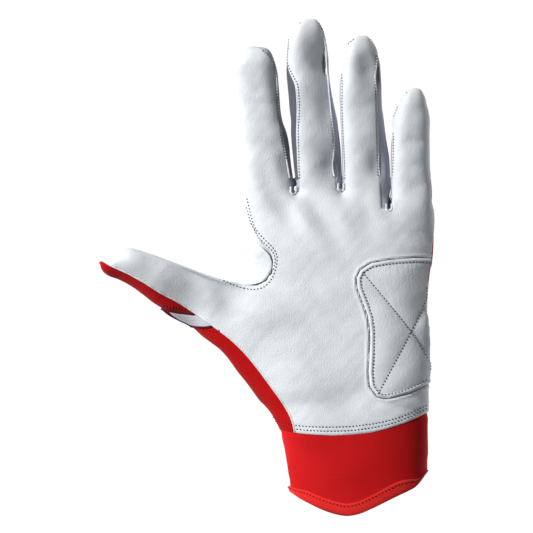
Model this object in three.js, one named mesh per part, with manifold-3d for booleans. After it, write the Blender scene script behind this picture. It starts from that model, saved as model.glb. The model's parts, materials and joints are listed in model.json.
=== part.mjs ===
// Batting glove for the left hand in its worn shape, lying on its back with the palm up.
// Millimetres. +Y runs along the fingers, -X to the thumb and +Z out of the palm.
// z = 0 is the plane that the back of the hand rests on.
// The sewn shell is one hollow form: an outer skin less an inner one. Each piece is what its
// seam outlines cut from that shell, less half of the seam gap on every cut edge.
// Plan outlines are pixel coordinates [column, row] of the 533 x 533 photograph. The real hand
// length turns them into millimetres.
import * as THREE from "three";
import { mergeVertices } from "three/addons/utils/BufferGeometryUtils.js";
import Module from "manifold-3d";

const wasm = await Module();
wasm.setup();

// Driving dimensions
const handLength = 190.4; // palm hem to middle fingertip
const palmDepth = 30; // back to palm across the knuckles
const fingerDepth = 18; // back to front of a finger at its base
const fingerTipDepth = 15;
const fingerBaseHeight = 13; // finger axis above the resting plane
const fingerTipLift = 4; // rise of the finger axis towards its tip
const thumbBaseDepth = 30;
const thumbTipDepth = 18;
const thumbBaseHeight = 18;
const thumbTipLift = 3;
const leatherWall = 1.2;
const cuffWall = 2.4;
const seamGap = 0.3; // room between two pieces sewn edge to edge
const sideStripWidth = 8; // fourchette strip between a finger's front and back
const webDepth = 12; // height of the web bridge between two finger bases
const gussetDrop = 7; // how far the crotch gusset runs below the palm seam

// Heel pad
const padFoamThickness = 1.4;
const padCoverThickness = 0.9;
const padBorderWidth = 3; // flat sewn border of the cover
const padChannelWidth = 1.8; // sewn cross, pulled down into the cover
const padChannelDepth = 0.5;

// Cuff hem and the hook-and-loop closure on the back of the cuff
const bindingWidth = 5;
const bindingStand = 0.5; // how far the binding tape stands off the cuff on both faces
const slitWidth = 4.6;
const slitHeight = 16;
const patchThickness = 0.8;
const patchLength = 15;
const patchSetback = 1; // cuff left bare between the slit and the patch
const patchMargin = 1.5; // strap that stands over the hook patch on each side
const strapWidth = 15;
const strapThickness = 1.2;
const strapAnchorLength = 8;
const strapLead = 14; // strap from its sewn end to the slit's middle
const tabLength = 6;
const strapHemSetback = 2.5; // bare cuff between the palm hem and the strap

// Thumb flex vent
const ventBindingWidth = 1.1;
const ventDrop = 3; // how far the vent runs below the thumb's middle height

const beyond = 60; // overrun of every cutter past what it cuts

// The photograph's frame
const handPixels = 414; // palm hem to middle fingertip
const centreColumnPixels = 267;
const centreRowPixels = 266.4;
const millimetresPerPixel = handLength / handPixels;
const column = (pixels) => (pixels - centreColumnPixels) * millimetresPerPixel;
const row = (pixels) => (centreRowPixels - pixels) * millimetresPerPixel;

// Hand and wrist: row, left edge, right edge
const trunkEdgePixels = [
  [198, 247, 430],
  [220, 247, 432],
  [250, 246, 434],
  [286, 244, 432],
  [330, 232, 429],
  [360, 236, 427],
  [390, 253, 427],
  [415, 270, 427],
  [434, 281, 427],
  [465, 287, 427],
  [530, 291, 427],
];
// Its back and palm heights at the same rows, as shares of the palm depth
const trunkHeightShares = [
  [0.16, 0.71],
  [0.07, 0.81],
  [0, 0.93],
  [-0.03, 0.97],
  [-0.03, 1.04],
  [-0.03, 1.13],
  [0, 1.2],
  [0.08, 1.25],
  [0.13, 1.29],
  [0.16, 1.35],
  [0.18, 1.4],
];
// The end between the finger bases falls away from this column to the little finger's side
const trunkFallPixels = { from: 364, to: 430, drop: 14 };
const trunkRoundShare = 0.78; // superellipse power: 1 is an ellipse, less is squarer
const trunkSides = 24;

// Digits: centre column, centre row, half width; the last row is where the round tip starts
const digitPixels = {
  index: [
    [271, 240, 20],
    [268, 205, 22.5],
    [267.5, 180, 24],
    [265, 148, 24],
    [259.5, 116, 23.5],
    [255.5, 84, 23],
    [253.5, 62, 21.5],
  ],
  middle: [
    [320, 240, 20],
    [319, 205, 21],
    [318.5, 180, 21.5],
    [317, 148, 23],
    [313.5, 116, 23.5],
    [309.5, 76, 21.5],
    [308.5, 40, 17.5],
  ],
  ring: [
    [364, 240, 20],
    [364, 205, 21.5],
    [364, 180, 22],
    [364, 148, 22.5],
    [361.5, 108, 22],
    [361.5, 76, 19.5],
    [361, 54, 17],
  ],
  little: [
    [411, 250, 18],
    [411.5, 215, 20.5],
    [411, 180, 20],
    [410.5, 148, 19.5],
    [411.5, 122, 18],
    [413.5, 104, 14.5],
  ],
};
const digitTipPixels = { index: 16, middle: 22, ring: 19, little: 17 }; // reach of the round tip
const thumbPixels = [
  [292, 352, 40],
  [240, 319, 35],
  [205, 301, 27.5],
  [165, 285, 24],
  [130, 268.5, 19.5],
  [114, 263.5, 16],
];
const thumbTipPixels = 14;
const digitRoundShare = 0.88;
const digitSides = 14;
const tipTurns = [Math.PI / 6, Math.PI / 3]; // rings of the round tip
const tipCloseShare = 0.9; // the last ring, as a share of a quarter turn

// Webs between neighbouring fingers: the two fingers and the lowest point of the gap
const webs = [
  { name: "index_middle_web", fingers: ["index", "middle"], notchPixels: [293.5, 192] },
  { name: "middle_ring_web", fingers: ["middle", "ring"], notchPixels: [341, 189] },
  { name: "ring_little_web", fingers: ["ring", "little"], notchPixels: [388.5, 210] },
];

// Where each digit bends: centre of the crease
const creasePixels = {
  index: [267.5, 181],
  middle: [318.5, 178],
  ring: [364, 178],
  little: [411, 199],
  thumb: [229, 314],
};

// Corners of the cutters, well past the object
const fieldPixels = { right: 470, top: -40, bottom: 640 };

// Seam between the white leather and the red thumb back and side panel
const whiteEdgePixels = [
  [88, 253],
  [100, 260],
  [123, 273],
  [149, 286],
  [183, 306],
  [211, 325],
  [231, 340],
  [256, 368],
  [285, 404],
  [292, 418],
  [294, 445],
];
const gussetPixels = [
  [232, 209],
  [246, 209],
  [250, 222],
  [259, 242],
  [268, 251],
  [273, 261],
  [271, 270],
  [264, 280],
  [250, 287],
  [240, 281],
];
const thumbRegionPixels = [
  [249.5, 282],
  [240, 272],
  [200, 236],
  [70, 236],
  [70, 330],
  [160, 372],
  [205, 360],
];
const sideRegionPixels = [
  [249.5, 284],
  [262, 300],
  [276, 340],
  [292, 385],
  [306, 445],
  [240, 445],
  [170, 370],
  [206, 359],
];
const knucklePixels = [
  [266, 222],
  [412, 226],
  [408, 262],
  [270, 262],
];
const ventPixels = [
  [164, 306],
  [182, 313],
  [198, 315],
  [213, 325],
  [202, 329],
  [185, 326],
  [172, 320],
];
const padPixels = [
  [427, 260],
  [390, 261],
  [371, 264],
  [359, 272],
  [357, 288],
  [365, 307],
  [370, 334],
  [369, 370],
  [371, 391],
  [385, 398],
  [404, 394],
  [425, 385],
];
const padCrossPixels = [
  [[360, 270], [411, 332], [430, 365]],
  [[376, 396], [411, 332], [430, 287]],
];
const hemPixels = [
  [230, 434],
  [294, 434],
  [334, 436.5],
  [371, 434],
  [404, 424.5],
  [427, 415.5],
  [450, 406],
];
const cuffEndPixels = [
  [270, 478],
  [289, 487],
  [297, 498],
  [318, 508],
  [345, 515],
  [372, 507],
  [400, 492],
  [417, 484],
  [427, 470],
  [450, 440],
];

// Vector helpers
const plan = ([c, r]) => new THREE.Vector2(column(c), row(r));
const mix = THREE.MathUtils.lerp;

// A solid from shared points and triangles, turned so that its faces point out.
function solidFrom(points, triangles) {
  let volume = 0;
  for (const [a, b, c] of triangles)
    volume += points[a].dot(new THREE.Vector3().crossVectors(points[b], points[c]));
  const order = volume < 0 ? (t) => [t[0], t[2], t[1]] : (t) => t;
  return new wasm.Manifold(
    new wasm.Mesh({
      numProp: 3,
      vertProperties: new Float32Array(points.flatMap((p) => [p.x, p.y, p.z])),
      triVerts: new Uint32Array(triangles.flatMap(order)),
    }),
  );
}

// A solid from a three.js geometry.
function solidOf(geometry) {
  const bare = new THREE.BufferGeometry();
  bare.setAttribute("position", geometry.getAttribute("position"));
  if (geometry.index) bare.setIndex(geometry.index);
  const merged = mergeVertices(bare);
  return new wasm.Manifold(
    new wasm.Mesh({
      numProp: 3,
      vertProperties: merged.attributes.position.array,
      triVerts: new Uint32Array(merged.index.array),
    }),
  );
}

// A closed skin over rings with the same number of points, with flat ends.
function loft(rings) {
  const sides = rings[0].length;
  const points = rings.flat();
  const triangles = [];
  for (let i = 0; i + 1 < rings.length; i++)
    for (let j = 0; j < sides; j++) {
      const a = i * sides + j;
      const b = i * sides + ((j + 1) % sides);
      triangles.push([a, b, b + sides], [a, b + sides, a + sides]);
    }
  for (const [start, turned] of [[0, true], [(rings.length - 1) * sides, false]]) {
    const centre = points.length;
    const middle = new THREE.Vector3();
    for (let j = 0; j < sides; j++) middle.add(points[start + j]);
    points.push(middle.divideScalar(sides));
    for (let j = 0; j < sides; j++) {
      const a = start + j;
      const b = start + ((j + 1) % sides);
      triangles.push(turned ? [b, a, centre] : [a, b, centre]);
    }
  }
  return solidFrom(points, triangles);
}

// An upright ring round a centre: a superellipse across a plan direction and +Z.
function ring(centre, across, halfWidth, halfDepth, roundShare, sides, lowest = -beyond) {
  return Array.from({ length: sides }, (_, j) => {
    const turn = (2 * Math.PI * j) / sides;
    const power = (v) => Math.sign(v) * Math.abs(v) ** roundShare;
    const side = halfWidth * power(Math.cos(turn));
    const height = centre.z + halfDepth * power(Math.sin(turn));
    return new THREE.Vector3(
      centre.x + across.x * side,
      centre.y + across.y * side,
      Math.max(height, lowest),
    );
  });
}

// Hand and wrist, drawn in by an inset. A negative inset stands off the skin.
function trunk(inset) {
  const across = new THREE.Vector2(1, 0);
  const open = inset > 0 ? beyond : 0; // the inner form runs out of the wrist
  return loft(
    trunkEdgePixels.map(([r, left, right], i) => {
      const [lowShare, highShare] = trunkHeightShares[i];
      const low = lowShare * palmDepth;
      const high = highShare * palmDepth;
      const first = i === 0;
      const last = i === trunkEdgePixels.length - 1;
      const centre = new THREE.Vector3(
        (column(left) + column(right)) / 2,
        row(r) - (first ? inset : 0) - (last ? open : 0),
        (low + high) / 2,
      );
      const halfWidth = (column(right) - column(left)) / 2 - inset;
      const halfDepth = (high - low) / 2 - inset;
      const points = ring(centre, across, halfWidth, halfDepth, trunkRoundShare, trunkSides, inset);
      return first ? points.map(fallen) : points;
    }),
  );
}

// A point of the end between the finger bases, dropped towards the little finger.
function fallen(point) {
  const { from, to, drop } = trunkFallPixels;
  const share = THREE.MathUtils.clamp((point.x - column(from)) / (column(to) - column(from)), 0, 1);
  return point.setY(point.y - share * drop * millimetresPerPixel);
}

// Height of every finger's axis over a row of the photograph.
const fingerRowPixels = [240, 190, 110, 30];
const fingerLiftShares = [0, 0, 0.45, 1];
function fingerHeight(r) {
  const i = Math.max(1, fingerRowPixels.findIndex((v) => v <= r));
  const at = i < 0 ? fingerRowPixels.length - 1 : i;
  const along = (r - fingerRowPixels[at - 1]) / (fingerRowPixels[at] - fingerRowPixels[at - 1]);
  const lift = mix(fingerLiftShares[at - 1], fingerLiftShares[at], Math.min(Math.max(along, 0), 1));
  return fingerBaseHeight + lift * fingerTipLift;
}

// A digit's tube with a round tip, drawn in by an inset.
function digitTube(stations, tipReach, inset) {
  const rings = [];
  const centres = stations.map((s) => s.centre);
  const ahead = (i) => {
    const next = centres[Math.min(i + 1, centres.length - 1)];
    const previous = centres[Math.max(i - 1, 0)];
    return next.clone().sub(previous).setZ(0).normalize();
  };
  stations.forEach(({ centre, halfWidth, halfDepth }, i) => {
    const along = ahead(i);
    const across = new THREE.Vector2(-along.y, along.x);
    rings.push(
      ring(centre, across, halfWidth - inset, halfDepth - inset, digitRoundShare, digitSides),
    );
    if (i < stations.length - 1) return;
    for (const turn of [...tipTurns, (Math.PI / 2) * tipCloseShare]) {
      const tip = centre.clone().addScaledVector(along, (tipReach - inset) * Math.sin(turn));
      const width = (halfWidth - inset) * Math.cos(turn);
      const depth = (halfDepth - inset) * Math.cos(turn);
      rings.push(ring(tip, across, width, depth, digitRoundShare, digitSides));
    }
  });
  return loft(rings);
}

function fingerStations(name) {
  const last = digitPixels[name].length - 1;
  return digitPixels[name].map(([c, r, half], i) => ({
    centre: new THREE.Vector3(column(c), row(r), fingerHeight(r)),
    halfWidth: half * millimetresPerPixel,
    halfDepth: mix(fingerDepth, fingerTipDepth, i / last) / 2,
  }));
}

function thumbStations() {
  const last = thumbPixels.length - 1;
  return thumbPixels.map(([c, r, half], i) => ({
    centre: new THREE.Vector3(column(c), row(r), thumbBaseHeight + (thumbTipLift * i) / last),
    halfWidth: half * millimetresPerPixel,
    halfDepth: mix(thumbBaseDepth, thumbTipDepth, i / last) / 2,
  }));
}

const fingerNames = Object.keys(digitPixels);

// The bridge that closes the gap between two finger bases.
function webBridge({ fingers, notchPixels }, inset) {
  const ends = fingers.map((name) => digitPixels[name][1][0]);
  const top = row(notchPixels[1]) - inset;
  const bottom = row(trunkEdgePixels[1][0]);
  const centre = (y) =>
    new THREE.Vector3((column(ends[0]) + column(ends[1])) / 2, y, fingerBaseHeight);
  const half = (column(ends[1]) - column(ends[0])) / 2;
  const across = new THREE.Vector2(1, 0);
  return loft(
    [bottom, top].map((y) =>
      ring(centre(y), across, half, webDepth / 2 - inset, trunkRoundShare, digitSides),
    ),
  );
}

// The whole form, drawn in by an inset.
function form(inset) {
  let whole = trunk(inset);
  for (const name of fingerNames)
    whole = whole.add(
      digitTube(fingerStations(name), digitTipPixels[name] * millimetresPerPixel, inset),
    );
  for (const web of webs) whole = whole.add(webBridge(web, inset));
  return whole.add(digitTube(thumbStations(), thumbTipPixels * millimetresPerPixel, inset));
}

// An outline moved out by a distance, or in by a negative one.
function grown(outline, distance) {
  const turned = THREE.ShapeUtils.isClockWise(outline) ? -1 : 1;
  return outline.map((point, i) => {
    const before = outline[(i + outline.length - 1) % outline.length];
    const after = outline[(i + 1) % outline.length];
    const a = point.clone().sub(before).normalize();
    const b = after.clone().sub(point).normalize();
    const out = new THREE.Vector2(a.y + b.y, -a.x - b.x);
    const reach = (2 * turned * distance) / out.lengthSq();
    return point.clone().addScaledVector(out, reach);
  });
}

// An upright cutter over a plan outline.
function prism(outline, growth = 0, low = -beyond, high = 2 * beyond) {
  const geometry = new THREE.ExtrudeGeometry(new THREE.Shape(grown(outline, growth)), {
    depth: high - low,
    bevelEnabled: false,
  });
  return solidOf(geometry.translate(0, 0, low));
}

// Everything above a seam that is level across the hand: points are [y, z].
function above(seam) {
  const shape = new THREE.Shape([
    ...seam,
    new THREE.Vector2(seam.at(-1).x, 2 * beyond),
    new THREE.Vector2(seam[0].x, 2 * beyond),
  ]);
  const geometry = new THREE.ExtrudeGeometry(shape, { depth: 4 * beyond, bevelEnabled: false });
  geometry.applyMatrix4(
    new THREE.Matrix4().makeBasis(
      new THREE.Vector3(0, 1, 0),
      new THREE.Vector3(0, 0, 1),
      new THREE.Vector3(1, 0, 0),
    ),
  );
  return solidOf(geometry.translate(-2 * beyond, 0, 0));
}

// The level seam round the hand, raised by an offset.
const palmSeamRowPixels = [600, 434, 360, 286, 226, 190];
const palmSeamShares = [0.7, 0.7, 0.55, 0.5, 0.46, 0.433]; // of the palm depth
function abovePalmSeam(offset) {
  const seam = palmSeamRowPixels.map(
    (r, i) => new THREE.Vector2(row(r), palmSeamShares[i] * palmDepth + offset),
  );
  seam.push(new THREE.Vector2(row(0), seam.at(-1).y));
  return above(seam);
}

// Above a finger's axis height, raised by an offset.
function aboveFingerAxis(offset) {
  return above(
    fingerRowPixels
      .concat(-handPixels)
      .map((r) => new THREE.Vector2(row(r), fingerHeight(Math.max(r, 0)) + offset)),
  );
}

// The plan side of a crease that a digit's free end lies on.
function digitRegion(name) {
  const along = digitDirection(name);
  const across = new THREE.Vector2(-along.y, along.x);
  const crease = plan(creasePixels[name]);
  const reachLeft = name === "index" ? beyond / 2 : gapReach(name, -1);
  const reachRight = name === "little" ? beyond / 2 : gapReach(name, 1);
  const left = crease.clone().addScaledVector(across, reachLeft);
  const right = crease.clone().addScaledVector(across, -reachRight);
  return [
    left,
    right,
    right.clone().addScaledVector(along, 3 * beyond),
    left.clone().addScaledVector(along, 3 * beyond),
  ];
}

// Half of the way to the neighbour finger's axis at the crease.
function gapReach(name, step) {
  const neighbour = fingerNames[fingerNames.indexOf(name) + step];
  return Math.abs(column(creasePixels[neighbour][0]) - column(creasePixels[name][0])) / 2;
}

function digitDirection(name) {
  const stations = name === "thumb" ? thumbPixels : digitPixels[name];
  return plan(stations.at(-1)).sub(plan(stations[1])).normalize();
}

const half = seamGap / 2;
const skin = form(0).subtract(form(leatherWall));
const cuffSkin = trunk(0).subtract(trunk(cuffWall));

// Finger pieces
// A finger's plan half, left or right of its axis.
function besideAxis(name, side, growth) {
  const points = digitPixels[name].map(plan);
  const along = digitDirection(name);
  const path = [
    points[0].clone().addScaledVector(along, -beyond),
    ...points,
    points.at(-1).clone().addScaledVector(along, beyond),
  ];
  const far = new THREE.Vector2(side * beyond, 0);
  const outline = [...path, ...path.map((p) => p.clone().add(far)).reverse()];
  return prism(outline, growth);
}

const regionOf = (name, growth) => prism(digitRegion(name), growth);
const stripHalf = sideStripWidth / 2;
const aboveStrip = (gap) => aboveFingerAxis(stripHalf + gap);
const aboveStripFoot = (gap) => aboveFingerAxis(-stripHalf + gap);

const pieces = new Map();

for (const name of fingerNames) {
  const stall = skin.intersect(regionOf(name, -half));
  const strip = stall.intersect(aboveStripFoot(half)).subtract(aboveStrip(-half));
  let front = stall.intersect(aboveStrip(half));
  // The outer fingers have no strip on their free side: the front wraps round it.
  const outerSide = { index: -1, little: 1 }[name] ?? 0;
  if (outerSide) {
    const outer = besideAxis(name, outerSide, -half);
    front = front.add(stall.intersect(aboveStripFoot(half)).intersect(outer));
  }
  pieces.set(name + "_front", [front, "leather"]);
  pieces.set(name + "_back", [stall.subtract(aboveStripFoot(-half)), "back"]);
  for (const [side, label] of [[-1, "left"], [1, "right"]])
    if (side !== outerSide)
      pieces.set(name + "_fourchette_" + label, [
        strip.intersect(besideAxis(name, side, -half)),
        "fourchette",
      ]);
}

// Thumb pieces
const whiteOutline = [
  ...whiteEdgePixels,
  [fieldPixels.right, whiteEdgePixels.at(-1)[1]],
  [fieldPixels.right, fieldPixels.top],
  [whiteEdgePixels[0][0], fieldPixels.top],
].map(plan);
const white = (growth) => prism(whiteOutline, growth);
const thumbMiddle = thumbBaseHeight - thumbTipLift / 3;
const thumbRegion = thumbRegionPixels.map(plan);
const thumbStall = skin.intersect(prism(thumbRegion, -half));
const thumbFrontCut = (gap) => prism(whiteOutline, -gap, thumbMiddle + gap);
const vent = ventPixels.map(plan);
const ventLow = thumbMiddle - ventDrop;
const thumbRest = thumbStall.subtract(thumbFrontCut(-half));
pieces.set("thumb_front", [thumbStall.intersect(thumbFrontCut(half)), "leather"]);
pieces.set("thumb_flex_insert", [
  thumbRest.intersect(prism(vent, -half, ventLow + ventBindingWidth + half)),
  "leather",
]);
pieces.set("thumb_flex_binding", [
  thumbRest
    .intersect(prism(vent, ventBindingWidth, ventLow))
    .subtract(prism(vent, half, ventLow + ventBindingWidth - half)),
  "piping",
]);
pieces.set("thumb_back", [
  thumbRest.subtract(prism(vent, ventBindingWidth + seamGap, ventLow - seamGap)),
  "back",
]);

// Hand pieces
let hand = skin.subtract(prism(thumbRegion, half));
for (const name of fingerNames) hand = hand.subtract(regionOf(name, half));
const hemOutline = [
  ...hemPixels,
  [hemPixels.at(-1)[0], fieldPixels.bottom],
  [hemPixels[0][0], fieldPixels.bottom],
].map(plan);
hand = hand.subtract(prism(hemOutline, half));

for (const { name, fingers, notchPixels } of webs) {
  const outline = fingers.map((finger) => plan(digitPixels[finger][1]));
  const above = new THREE.Vector2(0, webDepth);
  const high = fingers.map((finger) => plan(digitPixels[finger][2]).add(above));
  const low = plan(notchPixels).y - webDepth;
  const region = [
    outline[0].setY(low),
    outline[1].setY(low),
    high[1],
    high[0],
  ];
  const band = (growth, gap) =>
    prism(region, growth).intersect(aboveStripFoot(-gap)).subtract(aboveStrip(gap));
  pieces.set(name, [hand.intersect(band(-half, -half)), "fourchette"]);
  hand = hand.subtract(band(half, half));
}

const gusset = gussetPixels.map(plan);
const gussetLow = palmSeamShares[3] * palmDepth - gussetDrop;
pieces.set("crotch_gusset", [hand.intersect(prism(gusset, -half, gussetLow + half)), "leather"]);
hand = hand.subtract(prism(gusset, half, gussetLow - half));

const palmCut = (growth) => abovePalmSeam(-growth).intersect(white(growth));
pieces.set("palm_leather", [hand.intersect(palmCut(-half)), "leather"]);
const rear = hand.subtract(palmCut(half));
const side = sideRegionPixels.map(plan);
const knuckle = knucklePixels.map(plan);
const knuckleHigh = palmDepth / 3;
pieces.set("radial_side_panel", [rear.intersect(prism(side, -half)), "back"]);
pieces.set("knuckle_flex_panel", [
  rear.intersect(prism(knuckle, -half, -beyond, knuckleHigh)),
  "back",
]);
pieces.set("back_panel", [
  rear.subtract(prism(side, half)).subtract(prism(knuckle, half, -beyond, knuckleHigh)),
  "back",
]);

// Heel pad: a foam under a cover whose border lies on the palm
const pad = padPixels.map(plan);
const padOuter = padFoamThickness + padCoverThickness + 2 * seamGap;
const padSeam = palmSeamShares[2] * palmDepth + padBorderWidth;
const padFloor = trunk(-seamGap);
const padLayer = (high, growth) =>
  trunk(-high).subtract(padFloor).intersect(prism(pad, growth, padSeam - growth));
pieces.set("heel_pad_foam", [
  padLayer(seamGap + padFoamThickness, -padBorderWidth - seamGap),
  "foam",
]);
let padCover = padLayer(padOuter, padCoverThickness - padBorderWidth)
  .add(padLayer(seamGap + padCoverThickness, 0))
  .subtract(
    trunk(-padOuter + padCoverThickness).intersect(
      prism(pad, -padBorderWidth, padSeam + padBorderWidth),
    ),
  );
const padTop = trunk(-padOuter - seamGap).subtract(trunk(-padOuter + padChannelDepth));
for (const line of padCrossPixels) {
  const points = line.map(plan);
  const aside = new THREE.Vector2(0, padChannelWidth / 2);
  const outline = [
    ...points.map((p) => p.clone().add(aside)),
    ...points.map((p) => p.clone().sub(aside)).reverse(),
  ];
  padCover = padCover.subtract(padTop.intersect(prism(outline)));
}
pieces.set("heel_pad_cover", [padCover, "leather"]);

// Cuff and its binding
const cuffMiddle = palmSeamShares[1] * palmDepth;
const cuffEnd = cuffEndPixels.map(plan);
function beyondEnd(setback) {
  const shift = new THREE.Vector2(0, setback);
  const drop = new THREE.Vector2(0, -2 * beyond);
  return prism([
    ...cuffEnd.map((p) => p.clone().add(shift)),
    ...cuffEnd.map((p) => p.clone().add(drop)).reverse(),
  ]);
}
const cuffCentre = (column(trunkEdgePixels[9][1]) + column(trunkEdgePixels[9][2])) / 2;
const box = (xLow, xHigh, yLow, yHigh, zLow = -beyond, zHigh = cuffMiddle) =>
  prism(
    [
      new THREE.Vector2(xLow, yLow),
      new THREE.Vector2(xHigh, yLow),
      new THREE.Vector2(xHigh, yHigh),
      new THREE.Vector2(xLow, yHigh),
    ],
    0,
    zLow,
    zHigh,
  );
const slitFoot = row(trunkEdgePixels.at(-1)[0]);
const slitTop = plan(cuffEndPixels[1]).y + slitHeight;
const slit = box(cuffCentre - slitWidth / 2, cuffCentre + slitWidth / 2, slitFoot, slitTop);
const cuffBody = cuffSkin.intersect(prism(hemOutline, -half)).subtract(slit);
pieces.set("cuff", [cuffBody.subtract(beyondEnd(bindingWidth + seamGap)), "cuff"]);
pieces.set("cuff_binding", [
  trunk(-bindingStand)
    .subtract(trunk(cuffWall + bindingStand))
    .subtract(slit)
    .intersect(beyondEnd(bindingWidth))
    .subtract(beyondEnd(0)),
  "binding",
]);

// Closure strap over the slit, on the back of the cuff
const strapTop = plan(hemPixels[1]).y - strapHemSetback;
const strapLow = strapTop - strapWidth;
const loopTop = seamGap + patchThickness;
const hookTop = loopTop + seamGap + patchThickness;
const strapInner = hookTop + seamGap;
const strapOuter = strapInner + strapThickness;
const layer = (low, high) => trunk(-high).subtract(trunk(-low));
const fold = cuffCentre - strapLead;
const patchLow = cuffCentre + slitWidth / 2 + patchSetback;
const patchHigh = patchLow + patchLength;
const strapEnd = patchHigh + patchMargin;
const span = (xLow, xHigh, margin = 0) => box(xLow, xHigh, strapLow + margin, strapTop - margin);
const patch = span(patchLow, patchHigh, patchMargin);
pieces.set("cuff_loop_patch", [layer(seamGap, loopTop).intersect(patch), "loop"]);
pieces.set("strap_hook_patch", [layer(loopTop + seamGap, hookTop).intersect(patch), "hook"]);
pieces.set("strap_anchor", [
  layer(seamGap, strapOuter).intersect(span(fold - strapAnchorLength, fold - half)),
  "strap",
]);
const strapLayer = layer(strapInner, strapOuter);
const tab = span(strapEnd + seamGap, strapEnd + tabLength, patchMargin);
pieces.set("closure_strap", [strapLayer.intersect(span(fold + half, strapEnd)), "strap"]);
pieces.set("strap_pull_tab", [strapLayer.intersect(tab), "tab"]);

// Finishes
const finish = (color, roughness) =>
  new THREE.MeshStandardMaterial({ color, roughness, metalness: 0 });
const finishes = {
  leather: finish(0xe9edef, 0.55),
  fourchette: finish(0xb9bcc6, 0.8),
  back: finish(0xd8242a, 0.7),
  cuff: finish(0xd3232a, 0.75),
  binding: finish(0xc21e24, 0.7),
  piping: finish(0x5e0d0d, 0.7),
  foam: finish(0xf2e6c8, 0.95),
  strap: finish(0xc8201f, 0.75),
  hook: finish(0x7a1416, 0.95),
  loop: finish(0xa81a1d, 0.95),
  tab: finish(0xf0f0f0, 0.5),
};

// One named mesh for each piece
const glove = new THREE.Group();
for (const [name, [solid, slot]] of pieces) {
  const body = solid.decompose().sort((a, b) => b.volume() - a.volume())[0];
  const { vertProperties, triVerts } = body.getMesh();
  const geometry = new THREE.BufferGeometry();
  geometry.setAttribute("position", new THREE.BufferAttribute(vertProperties, 3));
  geometry.setIndex(new THREE.BufferAttribute(triVerts, 1));
  geometry.computeVertexNormals();
  const mesh = new THREE.Mesh(geometry, finishes[slot]);
  mesh.name = name;
  glove.add(mesh);
}

export default glove;
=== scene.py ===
"""Batting glove for the left hand in its worn shape, lying on its back with the palm up.

+Y runs along the fingers, -X to the thumb and +Z out of the palm. The sewn skin is one hand form,
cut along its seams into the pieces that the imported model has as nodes. Outlines are pixels
[row, column] or [column, row] of the 533 x 533 photograph, turned into millimetres by the hand's length.
"""

import json
import math

import bpy
import numpy as np
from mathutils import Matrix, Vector
from mathutils.bvhtree import BVHTree

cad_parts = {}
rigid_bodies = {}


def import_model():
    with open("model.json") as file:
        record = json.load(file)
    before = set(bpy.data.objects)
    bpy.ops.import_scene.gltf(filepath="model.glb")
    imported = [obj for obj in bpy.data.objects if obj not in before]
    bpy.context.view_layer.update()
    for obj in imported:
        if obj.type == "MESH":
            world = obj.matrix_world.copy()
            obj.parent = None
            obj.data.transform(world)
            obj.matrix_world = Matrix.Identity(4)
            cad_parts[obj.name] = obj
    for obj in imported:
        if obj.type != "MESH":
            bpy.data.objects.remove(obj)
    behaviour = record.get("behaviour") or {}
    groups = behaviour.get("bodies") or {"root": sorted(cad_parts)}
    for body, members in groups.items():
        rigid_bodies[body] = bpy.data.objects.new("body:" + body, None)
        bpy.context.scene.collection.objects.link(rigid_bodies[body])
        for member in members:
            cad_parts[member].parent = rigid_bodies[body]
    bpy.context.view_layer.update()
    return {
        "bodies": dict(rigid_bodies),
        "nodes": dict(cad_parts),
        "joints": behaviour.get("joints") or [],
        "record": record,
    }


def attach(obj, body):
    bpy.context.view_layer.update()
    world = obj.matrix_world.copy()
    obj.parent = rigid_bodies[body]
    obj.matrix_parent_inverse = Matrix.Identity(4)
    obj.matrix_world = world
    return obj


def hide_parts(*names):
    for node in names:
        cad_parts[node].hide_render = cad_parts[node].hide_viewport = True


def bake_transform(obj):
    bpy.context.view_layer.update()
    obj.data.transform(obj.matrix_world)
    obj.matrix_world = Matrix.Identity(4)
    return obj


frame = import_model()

bl_info = {
    "name": "Batting Glove",
    "version": (1, 0, 0),
    "blender": (4, 5, 0),
    "location": "View3D > Sidebar > Glove",
    "description": "Builds a sewn leather batting glove around its packed frame",
    "category": "Object",
}

MM = 0.001
HAND_LENGTH = 190.4
HAND_PIXELS = 414
PIXEL = HAND_LENGTH / HAND_PIXELS
CENTRE_COLUMN = 267.0
CENTRE_ROW = 266.4
FRAME_PIXELS = 533

# The hand form: row, left column, right column, back height and palm height in mm
TRUNK = [
    (196, 247, 430, 4.8, 21.3),
    (220, 247, 432, 2.1, 24.6),
    (250, 246, 433, 0.2, 27.9),
    (286, 244, 430, -0.7, 29.3),
    (312, 237, 427.5, -0.9, 30.6),
    (336, 232, 427.5, -0.9, 32.2),
    (360, 235, 429.5, -0.7, 34.0),
    (390, 253, 428.5, 0.3, 36.2),
    (415, 270.5, 428.5, 2.4, 37.6),
    (434, 280.5, 428.5, 3.9, 38.7),
    (465, 286.5, 428, 4.8, 40.4),
    (530, 291, 427, 5.4, 42.0),
]
TRUNK_POWER = 2.5
TRUNK_END_FALL = (364, 430, 14)  # the end between the finger bases drops to the little finger
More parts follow.
